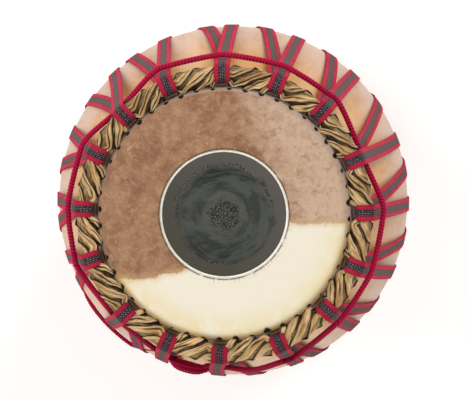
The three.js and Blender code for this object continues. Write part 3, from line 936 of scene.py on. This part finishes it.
class MRIDANGAM_OT_treble_head(bpy.types.Operator):
    """Treble outer ring with its stitch holes, its hem, and the main skin under it."""

    bl_idname = "mridangam.treble_head"
    bl_label = "Treble head"

    def execute(self, context):
        s, plait, lacing, shell = settings(context, "head", "plait", "lacing", "shell")
        treble = mouths(shell)[0]
        ring = pitted_ring(treble, s.treble_ring, s.treble_opening, s, plait, lacing)
        material = ring_hide_finish(s, shell.treble_mouth)
        make_piece("treble_ring", [ring], material, "drum", ["treble_outer_ring_skin"])
        hem = hem_grid(TREBLE_PLAIT, plait, lacing, loop_turn(lacing, np.arange(lacing.loops)))
        make_piece("treble_hem", [hem], material, "treble_hoop")
        pale = pale_hide_finish("main_hide", s.main, "dccba5")
        disc = [grid(self.main_skin(s, treble), caps=True)]
        make_piece("treble_skin", disc, pale, "treble_membrane", ["treble_main_skin"])
        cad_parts["treble_inner_ring_skin"].data.materials[0] = pale
        reed = reed_finish()
        for name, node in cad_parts.items():
            if name.startswith("reed_sliver"):
                node.data.materials[0] = reed
        return {"FINISHED"}

    def main_skin(self, s, treble):
        """The main skin, with a bell-shaped ridge of hide that shows between the ring and the patch."""
        main = level("treble_main_skin") - TREBLE_END
        disc = turned(disc_outline(treble, main - s.treble_main, main, s.skirt), 192)
        ridge = s.treble_opening - RIDGE_INSET
        beside = (np.hypot(disc[..., 0], disc[..., 1]) - ridge) / RIDGE_HALF_WIDTH
        disc[..., 2] += RIDGE_HEIGHT * np.exp(-(beside**6))
        return disc


class MRIDANGAM_OT_patch(bpy.types.Operator):
    """Black tuning patch in rounded terraces."""

    bl_idname = "mridangam.patch"
    bl_label = "Tuning patch"

    def execute(self, context):
        (s,) = settings(context, "patch")
        parts = [grid(turned(self.outline(s), 240), caps=True)]
        paste = patch_finish(s)
        make_piece("black_patch", parts, paste, "treble_membrane", ["treble_black_patch"])
        return {"FINISHED"}

    def outline(self, s):
        """The patch's top from its middle out, and its flat underside. The rim's edge is a quarter
        circle, and each terrace steps up on a hyperbolic tangent of the radius."""
        base = level("treble_black_patch", top=False)
        middle = 0.4 * MM
        edge = 1.2 * MM
        inner = s.radius - edge
        rounding = s.radius - edge * (1 - np.sin(np.linspace(0.1, QUARTER, 10)))
        radius = np.concatenate([np.linspace(middle, inner, 120), rounding])
        height = s.rim_height * np.sqrt(np.clip(1 - ((radius - inner) / edge).clip(0) ** 2, 0, 1))
        terraces = (
            (s.terrace, 0.9 * MM, s.terrace_height - s.rim_height),
            (s.dome, 1.4 * MM, s.dome_height - s.terrace_height),
        )
        for place, width, rise in terraces:
            height = height + rise * (0.5 - 0.5 * np.tanh((radius - place) / width))
        top = np.stack([radius, base + height], axis=-1)
        return np.concatenate([top, [[s.radius * 0.999, base], [middle, base]]])


class MRIDANGAM_OT_bass_head(bpy.types.Operator):
    """Bass outer ring with its hem, and the main skin."""

    bl_idname = "mridangam.bass_head"
    bl_label = "Bass head"

    def execute(self, context):
        s, plait, lacing, shell = settings(context, "head", "plait", "lacing", "shell")
        bass = mouths(shell)[1]
        ring = pitted_ring(bass, s.bass_ring, s.bass_opening, s, plait, lacing)
        hem = hem_grid(BASS_PLAIT, plait, lacing, even_turn(lacing, np.arange(lacing.loops)))
        thick = pale_hide_finish("bass_ring_hide", s.bass, "a9814f")
        make_piece("bass_ring", [ring, hem], thick, "drum", ["bass_outer_ring_skin"])
        main = BASS_END - level("bass_main_skin", top=False)
        outline = disc_outline(bass, main - s.bass_main, main, s.skirt)
        disc = [grid(turned(outline, 192), caps=True)]
        pale = pale_hide_finish("bass_main_hide", s.main, "d3bd90")
        make_piece("bass_skin", disc, pale, "bass_membrane", ["bass_main_skin"])
        return {"FINISHED"}


# Plaits

# Crests are shades from 0 to 1. The dip, the snugness, the breadths and the split's depth are shares of
# a strand's own size, and the split's width is an angle round the strand.
CORE_HALF_SIZE = np.array([4.5, 3.3]) * MM
CORE_FURTHER_IN = 4.2 * MM
CORE_CREST_INSIDE = 0.3
CORE_CREST_OUTSIDE = 0.46
STRAND_POINTS = 56
STRAND_SIDES = 32
STRAND_TILT = math.radians(14)
HOLE_DIP = 0.38
SNUG_UNDER_STRAP = 0.86
SLIMMER_AT_HOLE = 0.42
BROADER = 0.12
BROADEST_TURN = math.radians(290)
SPLIT_DEPTH = 0.4
SPLIT_WIDTH = 0.2


def core_grid(centre, straps):
    """The core under the strands: an oval round the hoop's middle, whose inner side reaches further in
    between the straps. Its crest says how deep in shade it lies."""
    around = circle(24)
    turn = circle(384)
    oval = polar(around) * CORE_HALF_SIZE
    further = CORE_FURTHER_IN * clear_of(turn, straps)[None] * np.cos(around).clip(-1, 0)[:, None]
    points = about_axis(centre[0] + oval[:, :1] + further, turn, centre[1] + oval[:, 1:])
    crest = np.where(np.cos(around) < -0.3, CORE_CREST_INSIDE, CORE_CREST_OUTSIDE)[:, None]
    along = centre[0] * turn[None]
    return grid(points, (True, True), along=along, around=around[:, None], crest=crest, tip=np.zeros((1, 1)))


def strand_grid(s, lacing, centre, out, number, straps):
    """One strand of a plait, a flattened tube along a closed winding round the hoop. Over the face it
    runs straight from its hole outwards and clockwise, and under the hoop it comes back in. With x from
    1 at the inside to -1 at the outside, its height is the rise times (1 - |x|^3)^(1/3), or times
    1 - dip x^2 on its way to the hole. Beside a strap loop it doesn't reach in to a hole. A bell of the
    angle round the strand splits its upper side, less so where the strands are broader."""
    t = np.linspace(0, 1, STRAND_POINTS * s.turns, endpoint=False)
    half_turns = t * 2 * s.turns
    share = half_turns % 1
    over = np.where(half_turns % 2 < 1, 1.0, -1.0)
    x = over * (0.9 * (1 - 2 * share) + 0.1 * np.cos(math.pi * share))
    y = over * (1 - np.abs(x).clip(0, 1) ** 3) ** (1 / 3)
    y = np.where((over > 0) & (x > 0), 1 - HOLE_DIP * x**2, y)
    turn = lacing.first_loop + s.first_hole + TAU * number / (s.strands * s.turns) - TAU * t
    turn = turn + wave(turn, 11 + number, 5, 40) * math.radians(0.4)
    free = clear_of(turn, straps)
    inside = (1 + x) / 2
    toward_hole = np.where(over > 0, inside, inside**4) * free
    snug = SNUG_UNDER_STRAP + (1 - SNUG_UNDER_STRAP) * free
    radius = centre[0] - s.reach * snug * x - s.hole_reach * toward_hole
    height = centre[1] + out * s.rise * snug * y + wave(turn, 31 + number, 6, 70) * 0.3 * MM
    path = about_axis(radius, turn, height)
    up = about_axis(-0.7 * x, turn, out * y)
    broader = BROADER * np.cos(turn - BROADEST_TURN)
    around = circle(STRAND_SIDES)
    twist = wave(turn, 91 + number, 4, 40)[:, None] * 2.0
    fold = 0.05 * np.cos(3 * around + twist) + 0.03 * np.cos(7 * around - 2 * twist)
    split = np.exp(-(((around - QUARTER - 0.12 * twist) / SPLIT_WIDTH) ** 2))
    split = split * (0.75 - 3 * broader + 0.5 * wave(turn, 111 + number, 6, 30))[:, None].clip(0, 1)
    fold = fold - SPLIT_DEPTH * split
    flat = np.sign(polar(around)) * np.abs(polar(around)) ** 0.65
    slim = 1 - SLIMMER_AT_HOLE * inside**3
    width = s.width * slim * (1 + broader + 0.15 * wave(turn, 51 + number, 8, 80))
    thick = s.thickness * slim * (1 + 0.12 * wave(turn, 71 + number, 8, 80))
    sections = flat * (1 + fold)[..., None] * np.stack([width, thick], axis=-1)[:, None]
    tilt = STRAND_TILT * out
    leaning = np.array([[math.cos(tilt), math.sin(tilt)], [-math.sin(tilt), math.cos(tilt)]])
    points = swept(path, up, sections @ leaning, closed=True)
    along = np.linalg.norm(np.roll(path, -1, axis=0) - path, axis=-1).cumsum()[:, None]
    # The crest carries painted shade down the strand's sides and in its split.
    crest = np.sin(around) + 1.6 * fold - 0.25 * split
    # A painted highlight on the strand's tip as it nears its hole.
    tip = np.where(over > 0, inside**7, 0.0)[:, None]
    return grid(points, (True, True), along=along, around=around[None], crest=crest, tip=tip)


class MRIDANGAM_OT_plaits(bpy.types.Operator):
    """Plaited hoops of raw hide round both heads, each with its core."""

    bl_idname = "mridangam.plaits"
    bl_label = "Plaits"

    def execute(self, context):
        s, lacing = settings(context, "plait", "lacing")
        material = plait_finish(s)
        loops = np.arange(lacing.loops)
        hoops = (
            ("treble", TREBLE_PLAIT, 1, "treble_hoop", loop_turn(lacing, loops)),
            ("bass", BASS_PLAIT, -1, "drum", even_turn(lacing, loops)),
        )
        for name, centre, out, body, straps in hoops:
            parts = [strand_grid(s, lacing, centre, out, i, straps) for i in range(s.strands)]
            parts.append(core_grid(centre, straps))
            make_piece(name + "_plaited_hoop", parts, material, body, [name + "_plait"])
        return {"FINISHED"}


# Lacing

# How far loops and legs lie off their even places, in degrees: each loop at the treble plait, and the
# straight and the slanting leg under it where they cross the belly.
LOOP_OFF_DEG = (1, 1.5, 0.5, -2.5, -2, -3.5, 0, -1.5, -2, 0.5, 2, 0.5, 0.5, 0, 1.5, 0.5)
STRAIGHT_OFF_DEG = (0.5, 0.5, -2, -0.5, -0.5, -3.5, 0, -1.5, -4.5, -1, -1, -1.5, -1, -2, 1, 0.5)
SLANT_OFF_DEG = (-4, 0, -2.5, -1.5, -5, -6, 0.5, -6, -4.5, -5, -4, -2.5, -2, -1, -1.5, -1)


def leg_ends(shell, lacing):
    """Where a strap leg touches each plait's loop, outside it and behind it, and its normal there. Also
    the radii of the strap's middle round a plait and round the belly, and the centre of the latter."""
    loop = lacing.loop_inside + lacing.strap_thickness / 2
    belly = shell.belly_arc + lacing.seat_gap + lacing.strap_thickness / 2
    centre = belly_centre(shell)
    ends = {}
    for name, hoop in (("treble", TREBLE_PLAIT), ("bass", BASS_PLAIT)):
        for side, sign in (("outside", 1), ("behind", -1)):
            normal = touching_normal(hoop, sign * loop, centre, belly)
            ends[name, side] = (hoop + sign * loop * polar(normal), normal)
    return ends, loop, belly, centre


def off_by(degrees, i):
    """How far loop or leg i lies off its even place."""
    return np.radians(np.take(degrees, i, mode="wrap"))


def even_turn(lacing, i):
    """Even angle of loop i about the axis."""
    return lacing.first_loop + i * TAU / lacing.loops


def loop_turn(lacing, i):
    """Angle of loop i at the treble plait."""
    return even_turn(lacing, i) + off_by(LOOP_OFF_DEG, i)


def turn_curve(at_treble, on_belly, at_bass, belly_height):
    """A leg's angle about the axis: the parabola of height through its angles at the treble plait, on
    the belly and at the bass plait, as polynomial coefficients."""
    return np.polyfit((TREBLE_PLAIT[1], belly_height, BASS_PLAIT[1]), (at_treble, on_belly, at_bass), 2)


def straight_turn(lacing, i, belly_height):
    """Angle of the straight leg under loop i."""
    even = even_turn(lacing, i)
    return turn_curve(loop_turn(lacing, i), even + off_by(STRAIGHT_OFF_DEG, i), even, belly_height)


def slant_turn(lacing, i, belly_height):
    """Angle of the leg that slants from loop i to the next bass loop."""
    share = (TREBLE_PLAIT[1] - belly_height) / (TREBLE_PLAIT[1] - BASS_PLAIT[1])
    on_belly = even_turn(lacing, i) + TAU / lacing.loops * share + off_by(SLANT_OFF_DEG, i)
    return turn_curve(loop_turn(lacing, i), on_belly, even_turn(lacing, i + 1), belly_height)


def leg_route(start, end, belly, centre, curve):
    """A leg: straight to the belly, round its arc and straight on. Returns radius, height, angle of the
    normal and turn about the axis, one row a station."""
    on_line = 14
    on_arc = 26
    round_belly = arc(centre, belly, start[1], end[1], on_arc)
    spots = joined([start[0]], on_line, round_belly, on_line, [end[0]])
    normal = np.pad(np.linspace(start[1], end[1], on_arc), on_line - 1, mode="edge")
    return np.column_stack([spots, normal, np.polyval(curve, spots[:, 1])])


def loop_route(hoop, loop, outside, behind, out, turn):
    """A loop squarely round a plait, from its outside over the face to the space behind it."""
    angles = np.linspace(outside[1], behind[1] + out * math.pi, 36)[1:-1]
    return np.column_stack([hoop + loop * polar(angles), angles, np.full(len(angles), turn)])


def strap_route(shell, lacing):
    """The strap's whole route, from its knot round both plaits and back to the knot, and the knot's row."""
    ends, loop, belly, centre = leg_ends(shell, lacing)
    treble_out, treble_back = ends["treble", "outside"], ends["treble", "behind"]
    bass_out, bass_back = ends["bass", "outside"], ends["bass", "behind"]
    spot, normal = bass_out
    ahead = centre + belly * polar(normal) - spot
    places = lacing.knot_from_plait + np.array([-0.45, 0, 0.45]) * lacing.knot_length
    knot_spots = spot + (places / np.hypot(*ahead))[:, None] * ahead
    last = slant_turn(lacing, lacing.loops - 1, centre[1]) - np.array([0, 0, TAU])
    knot = np.column_stack([knot_spots, np.full(3, normal), np.polyval(last, knot_spots[:, 1])])
    route = [knot[:1], [[*spot, normal, lacing.first_loop]]]
    for i in range(lacing.loops):
        straight = straight_turn(lacing, i, centre[1])
        slanted = leg_route(treble_back, bass_out, belly, centre, slant_turn(lacing, i, centre[1]))
        route.append(loop_route(BASS_PLAIT, loop, bass_out, bass_back, -1, even_turn(lacing, i)))
        route.append(leg_route(bass_back, treble_out, belly, centre, straight))
        route.append(loop_route(TREBLE_PLAIT, loop, treble_out, treble_back, 1, loop_turn(lacing, i)))
        route.append(slanted if i < lacing.loops - 1 else slanted[slanted[:, 1] > knot[2, 1]])
    route.append(knot[2:] + np.array([0, 0, 0, TAU]))
    return np.concatenate(route), knot[1]


def in_space(route):
    """Places and normals in space from radius, height, normal angle and turn. Normals are turned so that
    none flips from one station to the next."""
    radius, height, normal, turn = route.T
    up = about_axis(np.cos(normal), turn, np.sin(normal))
    flips = np.sign((up[1:] * up[:-1]).sum(-1))
    return about_axis(radius, turn, height), up * np.concatenate([[1.0], np.cumprod(flips)])[:, None]


def strap_section(width, thickness):
    """A flat section with round edges: half circles joined by straight sides, as (aside, up), and how
    far across the strap each point is, from -1 to 1."""
    half = thickness / 2
    flat = width / 2 - half
    right = arc((flat, 0), half, -QUARTER, QUARTER, 6)
    left = arc((-flat, 0), half, QUARTER, 3 * QUARTER, 6)
    section = joined(right, 14, left, 14)
    return section, section[:, 0] / (width / 2)


def strap_grid(path, up, along, width, thickness, near):
    """A strap along a path, with its length along, its share across and its nearness to a plait, which sets
    its painted shade.
    """
    section, across = strap_section(width, thickness)
    points = swept(path, up, section)
    return grid(points, caps=True, along=along[:, None], across=across[None], near=near)


# The knot's strap is a share of the strap's width, and its nearness to the plait sets its shade.
NEAR_PLAIT = 16 * MM
KNOT_STRAP_WIDTH = 0.82
KNOT_HALF_WIDTH = 5.6 * MM
KNOT_HALF_HEIGHT = 1.9 * MM
KNOT_DRIFT = 2.6 * MM
KNOT_NEAR_PLAIT = 0.5
TAIL_LENGTH = 12 * MM


class MRIDANGAM_OT_lacing(bpy.types.Operator):
    """Woven strap laced between the plaits, and the knot that joins its ends."""

    bl_idname = "mridangam.lacing"
    bl_label = "Lacing"

    def execute(self, context):
        s, shell = settings(context, "lacing", "shell")
        route, knot = strap_route(shell, s)
        material = webbing_finish(s)
        # Nearness to a plait sets the strap's painted shade by its loops.
        from_plait = np.abs(route[:, 1:2] - (TREBLE_PLAIT[1], BASS_PLAIT[1])).min(axis=1, keepdims=True)
        near = np.exp(-((from_plait / NEAR_PLAIT) ** 4))
        path, up = in_space(route)
        parts = [strap_grid(path, up, run(path), s.strap_width, s.strap_thickness, near)]
        strap = make_piece("laced_strap", parts, material, None, ["lacing_strap"])
        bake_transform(strap)
        self.knot(s, knot, material)
        return {"FINISHED"}

    def knot(self, s, knot, material):
        """A flat wrap of strap round the joint: two turns of an oval spiral across the leg, with its
        two short ends lying along the leg."""
        place, normal = (rows[0] for rows in in_space(knot[None]))
        aside = np.array([-math.sin(knot[3]), math.cos(knot[3]), 0.0])
        along = np.cross(aside, normal)
        angle = np.linspace(-QUARTER, 3.6 * math.pi, 90)
        cosine, sine = polar(angle).T
        grow = 1 + 0.05 * angle
        wide = np.abs(cosine) ** 0.7 * np.sign(cosine) * KNOT_HALF_WIDTH * grow
        high = np.abs(sine) ** 0.8 * np.sign(sine) * KNOT_HALF_HEIGHT * grow
        drift = np.linspace(-KNOT_DRIFT, KNOT_DRIFT, len(angle))
        ways = np.stack([aside, normal, along])
        size = (KNOT_STRAP_WIDTH * s.strap_width, s.strap_thickness, np.full((1, 1), KNOT_NEAR_PLAIT))
        path = place + np.stack([wide, high, drift], axis=-1) @ ways
        up = np.stack([0.4 * cosine, sine, 0 * sine], axis=-1) @ ways
        parts = [strap_grid(path, up, run(path), *size)]
        share = np.linspace(0, 1, 16)
        for sign in (-1, 1):
            tail = np.stack([sign * 1.2 * share, 1.1 + 1.6 * share**2, sign * (4 + 8 * share)], axis=-1) * MM
            up = np.tile(normal, (len(share), 1))
            parts.append(strap_grid(place + tail @ ways, up, TAIL_LENGTH * share, *size))
        make_piece("strap_knot", parts, material, "drum", ["lacing_knot"])


# Tie cord

UP = np.array([0.0, 0.0, 1.0])

# The sags reach so many loops from the bundle. The groove and the thicknesses are shares of the cord's
# radius, and the reach is a share of the bundle's length.
LOOPS_OVER_CORD = (2, 6, 7, 8, 13)
BUNDLE_AFTER_LOOP = 7
SAG_BEFORE_BUNDLE = 1.7
SAG_AFTER_BUNDLE = 1.45
CORD_STEP = 0.4 * MM
CORD_LAY = 4.4 * MM
CORD_GROOVE = 0.26
LOOSE_THICKNESS = 0.8
LOOSE_START = math.radians(3)
LOOSE_SWEEP = math.radians(44)
LOOSE_DROP_SHARE = 0.4
LOOSE_ABOVE_BELLY = 28 * MM
LOOSE_STAND = 1 * MM
LOOSE_TUCK = 5 * MM
BUNDLE_ENDS = 7
BUNDLE_END_THICKNESS = 0.72
BUNDLE_REACH = 0.72
BUNDLE_SHIFT = 1.5 * MM
BUNDLE_SINK = 2.5 * MM


def cord_corners(shell, lacing):
    """Corners of the tie cord's route: it crosses each outer leg squarely, outside it or behind it, and
    sags on both sides of its bundle, slack on one of them. Returns the corners, and the bundle's turn,
    radius and height."""
    spot, normal = leg_ends(shell, lacing)[0]["treble", "outside"]
    belly_height = belly_centre(shell)[1]
    stand = (lacing.strap_thickness / 2 + lacing.seat_gap + lacing.cord_radius) / math.cos(normal)
    loops = BUNDLE_AFTER_LOOP + 1 + np.arange(lacing.loops)
    from_bundle = (np.arange(lacing.loops) + 0.5 + lacing.loops / 2) % lacing.loops - lacing.loops / 2
    breadth = np.where(from_bundle < 0, SAG_BEFORE_BUNDLE, SAG_AFTER_BUNDLE)
    sag = lacing.cord_sag * np.exp(-((from_bundle / breadth) ** 4))
    height = TREBLE_FACE - lacing.cord_below_face - sag
    leg = spot[0] - (height - spot[1]) * math.tan(normal)
    radius = np.where(np.isin(loops % lacing.loops, LOOPS_OVER_CORD), leg - stand, leg + stand)
    turn = np.array([np.polyval(straight_turn(lacing, i, belly_height), z) for i, z in zip(loops, height)])
    aside = (lacing.strap_width / 2 + 1 * MM) * np.array([-1, 1])
    middle = about_axis(radius, turn, height)
    across = about_axis(np.ones(len(turn)), turn + QUARTER, np.zeros(len(turn)))
    corners = (middle[:, None] + aside[None, :, None] * across[:, None]).reshape(-1, 3)
    bundle_turn = (turn[0] + turn[-1] - TAU) / 2
    bundle_radius = (leg[0] + leg[-1]) / 2 + lacing.bundle_stand
    bow = (corners[1] + corners[2]) / 2
    bow[:2] *= 1 + lacing.cord_slack / np.linalg.norm(bow[:2])
    return np.insert(corners, 2, bow, axis=0), bundle_turn, bundle_radius, (height[0] + height[-1]) / 2


def smooth_path(corners, per_span):
    """Points of a Catmull-Rom curve through corners: on each span the usual cubic of four neighbours."""
    ends = np.concatenate([[2 * corners[0] - corners[1]], corners, [2 * corners[-1] - corners[-2]]])
    t = np.linspace(0, 1, per_span, endpoint=False)[:, None]
    a, b, c, d = ends[:-3, None], ends[1:-2, None], ends[2:-1, None], ends[3:, None]
    cubic = 2 * b + (c - a) * t + (2 * a - 5 * b + 4 * c - d) * t**2 + (3 * b - a - 3 * c + d) * t**3
    return np.concatenate([(cubic / 2).reshape(-1, corners.shape[1]), corners[-1:]])


def cord_grid(path, up, radius):
    """A twisted cord of two plies along a path, with its points spread evenly: a round section whose
    radius dips between the plies, turning once in each lay."""
    length = run(path)
    along = np.linspace(0, length[-1], int(length[-1] / CORD_STEP) + 1)
    path = np.stack([np.interp(along, length, path[:, i]) for i in range(3)], axis=-1)
    around = circle(24)
    # The crest shapes the plies and carries the painted shade of the grooves between them.
    crest = np.abs(np.cos(around - (TAU * along / CORD_LAY)[:, None]))
    section = radius * (1 - CORD_GROOVE + CORD_GROOVE * crest**0.7)[..., None] * polar(around)
    points = swept(path, np.broadcast_to(up, path.shape), section)
    return grid(points, caps=True, along=along[:, None], around=around[None], crest=crest)


class MRIDANGAM_OT_tie_cord(bpy.types.Operator):
    """Twisted cord tied round the strap legs under the treble head, with its loose end and its bundle."""

    bl_idname = "mridangam.tie_cord"
    bl_label = "Tie cord"

    def execute(self, context):
        s, shell = settings(context, "lacing", "shell")
        corners, turn, radius, height = cord_corners(shell, s)
        out = np.array([math.cos(turn), math.sin(turn), 0.0])
        across = np.cross(UP, out)
        centre = radius * out + height * UP
        ends = centre + 0.5 * s.bundle_length * np.array([[1], [0.9], [-0.9], [-1]]) * across
        route = smooth_path(np.concatenate([ends[1::-1], corners, ends[:1:-1]]), 24)
        material = cord_finish(s)
        parts = [cord_grid(route, UP, s.cord_radius), self.loose_end(s, shell, turn, radius, height)]
        make_piece("twisted_tie_cord", parts, material, "drum", ["tie_cord"])
        self.bundle(s, centre, out, across, material)
        return {"FINISHED"}

    def loose_end(self, s, shell, turn, radius, height):
        """The cord's loose end: from the bundle down to the belly, and on round it, on the strap legs."""
        _, _, belly, centre = leg_ends(shell, s)
        share = np.linspace(0, 1, 90)
        angle = turn - LOOSE_START - LOOSE_SWEEP * share
        drop = np.clip(share / LOOSE_DROP_SHARE, 0, 1)
        level_at = height + (centre[1] + LOOSE_ABOVE_BELLY - height) * drop**2 * (3 - 2 * drop)
        girth = centre[0] + np.sqrt(belly**2 - (level_at - centre[1]) ** 2)
        stand = LOOSE_STAND - LOOSE_TUCK * share**12
        path = about_axis(radius + (girth + stand - radius) * drop, angle, level_at)
        return cord_grid(path, UP, LOOSE_THICKNESS * s.cord_radius)

    def bundle(self, s, centre, out, across, material):
        """The cord's ends laid side by side: each an arch along the bundle, the square root of one less
        almost the square of the share of its length, at its own angle round the bundle. Each is shifted
        along by a sine of its number, and its two ends sink in by the fourth power of the share."""
        thin = BUNDLE_END_THICKNESS * s.cord_radius
        share = np.linspace(-1, 1, 60)[:, None]
        spread = (s.bundle_radius - thin) * np.sqrt(1 - 0.97 * share**2)
        parts = []
        for number, angle in enumerate(circle(BUNDLE_ENDS)):
            side = math.cos(angle) * out + math.sin(angle) * UP
            slide = BUNDLE_SHIFT * math.sin(2.4 * number) + BUNDLE_REACH * s.bundle_length * share
            path = centre + slide * across + spread * side - BUNDLE_SINK * share**4 * out
            parts.append(cord_grid(path, side, thin))
        make_piece("cord_bundle", parts, material, "drum", ["tie_knot"])


# Stage

FLOOR_REACH = 24
FLOOR_DROP = 0.3 * MM
SENSOR_WIDTH = 36
FARTHEST_SEEN = 60
WORLD_STRENGTH = 0.36

# Each light: name, place and diameter in metres, and power in watts.
LIGHTS = (
    ("key_light", (2.2, 3.2, 4.4), 2.6, 150),
    ("fill_light", (-3.4, 1.0, 3.6), 3.2, 105),
    ("low_light", (-0.6, -3.6, 2.8), 3.2, 62),
)


class MRIDANGAM_OT_stage(bpy.types.Operator):
    """Pale floor, soft studio lights and the camera."""

    bl_idname = "mridangam.stage"
    bl_label = "Stage"

    def execute(self, context):
        s, shell = settings(context, "stage", "shell")
        target = Vector((0, 0, TREBLE_END - shell.belly_from_treble))
        self.floor(s, context.scene)
        self.lights(context.scene, target)
        self.camera(s, context.scene, target)
        context.scene.view_settings.view_transform = "Standard"
        return {"FINISHED"}

    def floor(self, s, scene):
        """A flat square grid just under the drum."""
        side = np.linspace(-FLOOR_REACH, FLOOR_REACH, 2 * FLOOR_REACH + 1)
        x, y = np.meshgrid(side, side)
        points = np.stack([x, y, np.full_like(x, -FLOOR_DROP)], axis=-1)
        mesh = bpy.data.meshes.new("pale_floor")
        quads, _ = faces_of(grid(points, (False, False)), 0)
        mesh.from_pydata(points.reshape(-1, 3).tolist(), [], quads.tolist())
        mesh.materials.append(floor_finish(s))
        floor = bpy.data.objects.new("pale_floor", mesh)
        scene.collection.objects.link(floor)

    def lights(self, scene, target):
        """Round area lights that face the drum, and a dim white world."""
        for name, place, size, power in LIGHTS:
            lamp = bpy.data.lights.new(name, "AREA")
            lamp.shape = "DISK"
            lamp.size = size
            lamp.energy = power
            light = bpy.data.objects.new(name, lamp)
            light.location = place
            light.rotation_euler = (target - Vector(place)).to_track_quat("-Z", "Y").to_euler()
            scene.collection.objects.link(light)
        scene.world = bpy.data.worlds.new("studio")
        scene.world.use_nodes = True
        background = scene.world.node_tree.nodes["Background"]
        background.inputs[0].default_value = (1, 1, 1, 1)
        background.inputs[1].default_value = WORLD_STRENGTH

    def camera(self, s, scene, target):
        """The photo's camera, above the treble head, with the photo's top along +Y."""
        data = bpy.data.cameras.new("photo_camera")
        data.lens = s.lens
        data.sensor_width = SENSOR_WIDTH
        data.clip_end = FARTHEST_SEEN
        camera = bpy.data.objects.new("photo_camera", data)
        place = Vector((s.camera_right, s.camera_up, TREBLE_FACE + s.camera_height))
        back = (place - target).normalized()
        right = Vector((0, 1, 0)).cross(back).normalized()
        axes = Matrix((right, back.cross(right), back)).transposed().to_4x4()
        camera.matrix_world = Matrix.Translation(place) @ axes
        scene.collection.objects.link(camera)
        scene.camera = camera


OPERATORS = (
    MRIDANGAM_OT_stage,
    MRIDANGAM_OT_shell,
    MRIDANGAM_OT_treble_head,
    MRIDANGAM_OT_patch,
    MRIDANGAM_OT_bass_head,
    MRIDANGAM_OT_plaits,
    MRIDANGAM_OT_lacing,
    MRIDANGAM_OT_tie_cord,
)

SETTINGS = {
    "mridangam_shell": ShellSettings,
    "mridangam_head": HeadSettings,
    "mridangam_patch": PatchSettings,
    "mridangam_plait": PlaitSettings,
    "mridangam_lacing": LacingSettings,
    "mridangam_stage": StageSettings,
}


class MRIDANGAM_PT_panel(bpy.types.Panel):
    """Buttons and settings of the drum's pieces."""

    bl_idname = "MRIDANGAM_PT_panel"
    bl_label = "Mridangam"
    bl_space_type = "VIEW_3D"
    bl_region_type = "UI"
    bl_category = "Mridangam"

    def draw(self, context):
        for operator in OPERATORS:
            self.layout.operator(operator.bl_idname)
        for name, group in SETTINGS.items():
            box = self.layout.box()
            for key in group.__annotations__:
                box.prop(getattr(context.scene, name), key)


register_classes, unregister_classes = bpy.utils.register_classes_factory(
    (*SETTINGS.values(), *OPERATORS, MRIDANGAM_PT_panel)
)


def register():
    """Registers the settings, the operators and the panel."""
    register_classes()
    for name, group in SETTINGS.items():
        setattr(bpy.types.Scene, name, bpy.props.PointerProperty(type=group))


def unregister():
    """Takes back what register added."""
    for name in SETTINGS:
        delattr(bpy.types.Scene, name)
    unregister_classes()


def main():
    """Makes every piece in order."""
    register()
    bpy.ops.mridangam.stage()
    bpy.ops.mridangam.shell()
    bpy.ops.mridangam.treble_head()
    bpy.ops.mridangam.patch()
    bpy.ops.mridangam.bass_head()
    bpy.ops.mridangam.plaits()
    bpy.ops.mridangam.lacing()
    bpy.ops.mridangam.tie_cord()
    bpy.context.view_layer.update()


if __name__ == "__main__":
    main()
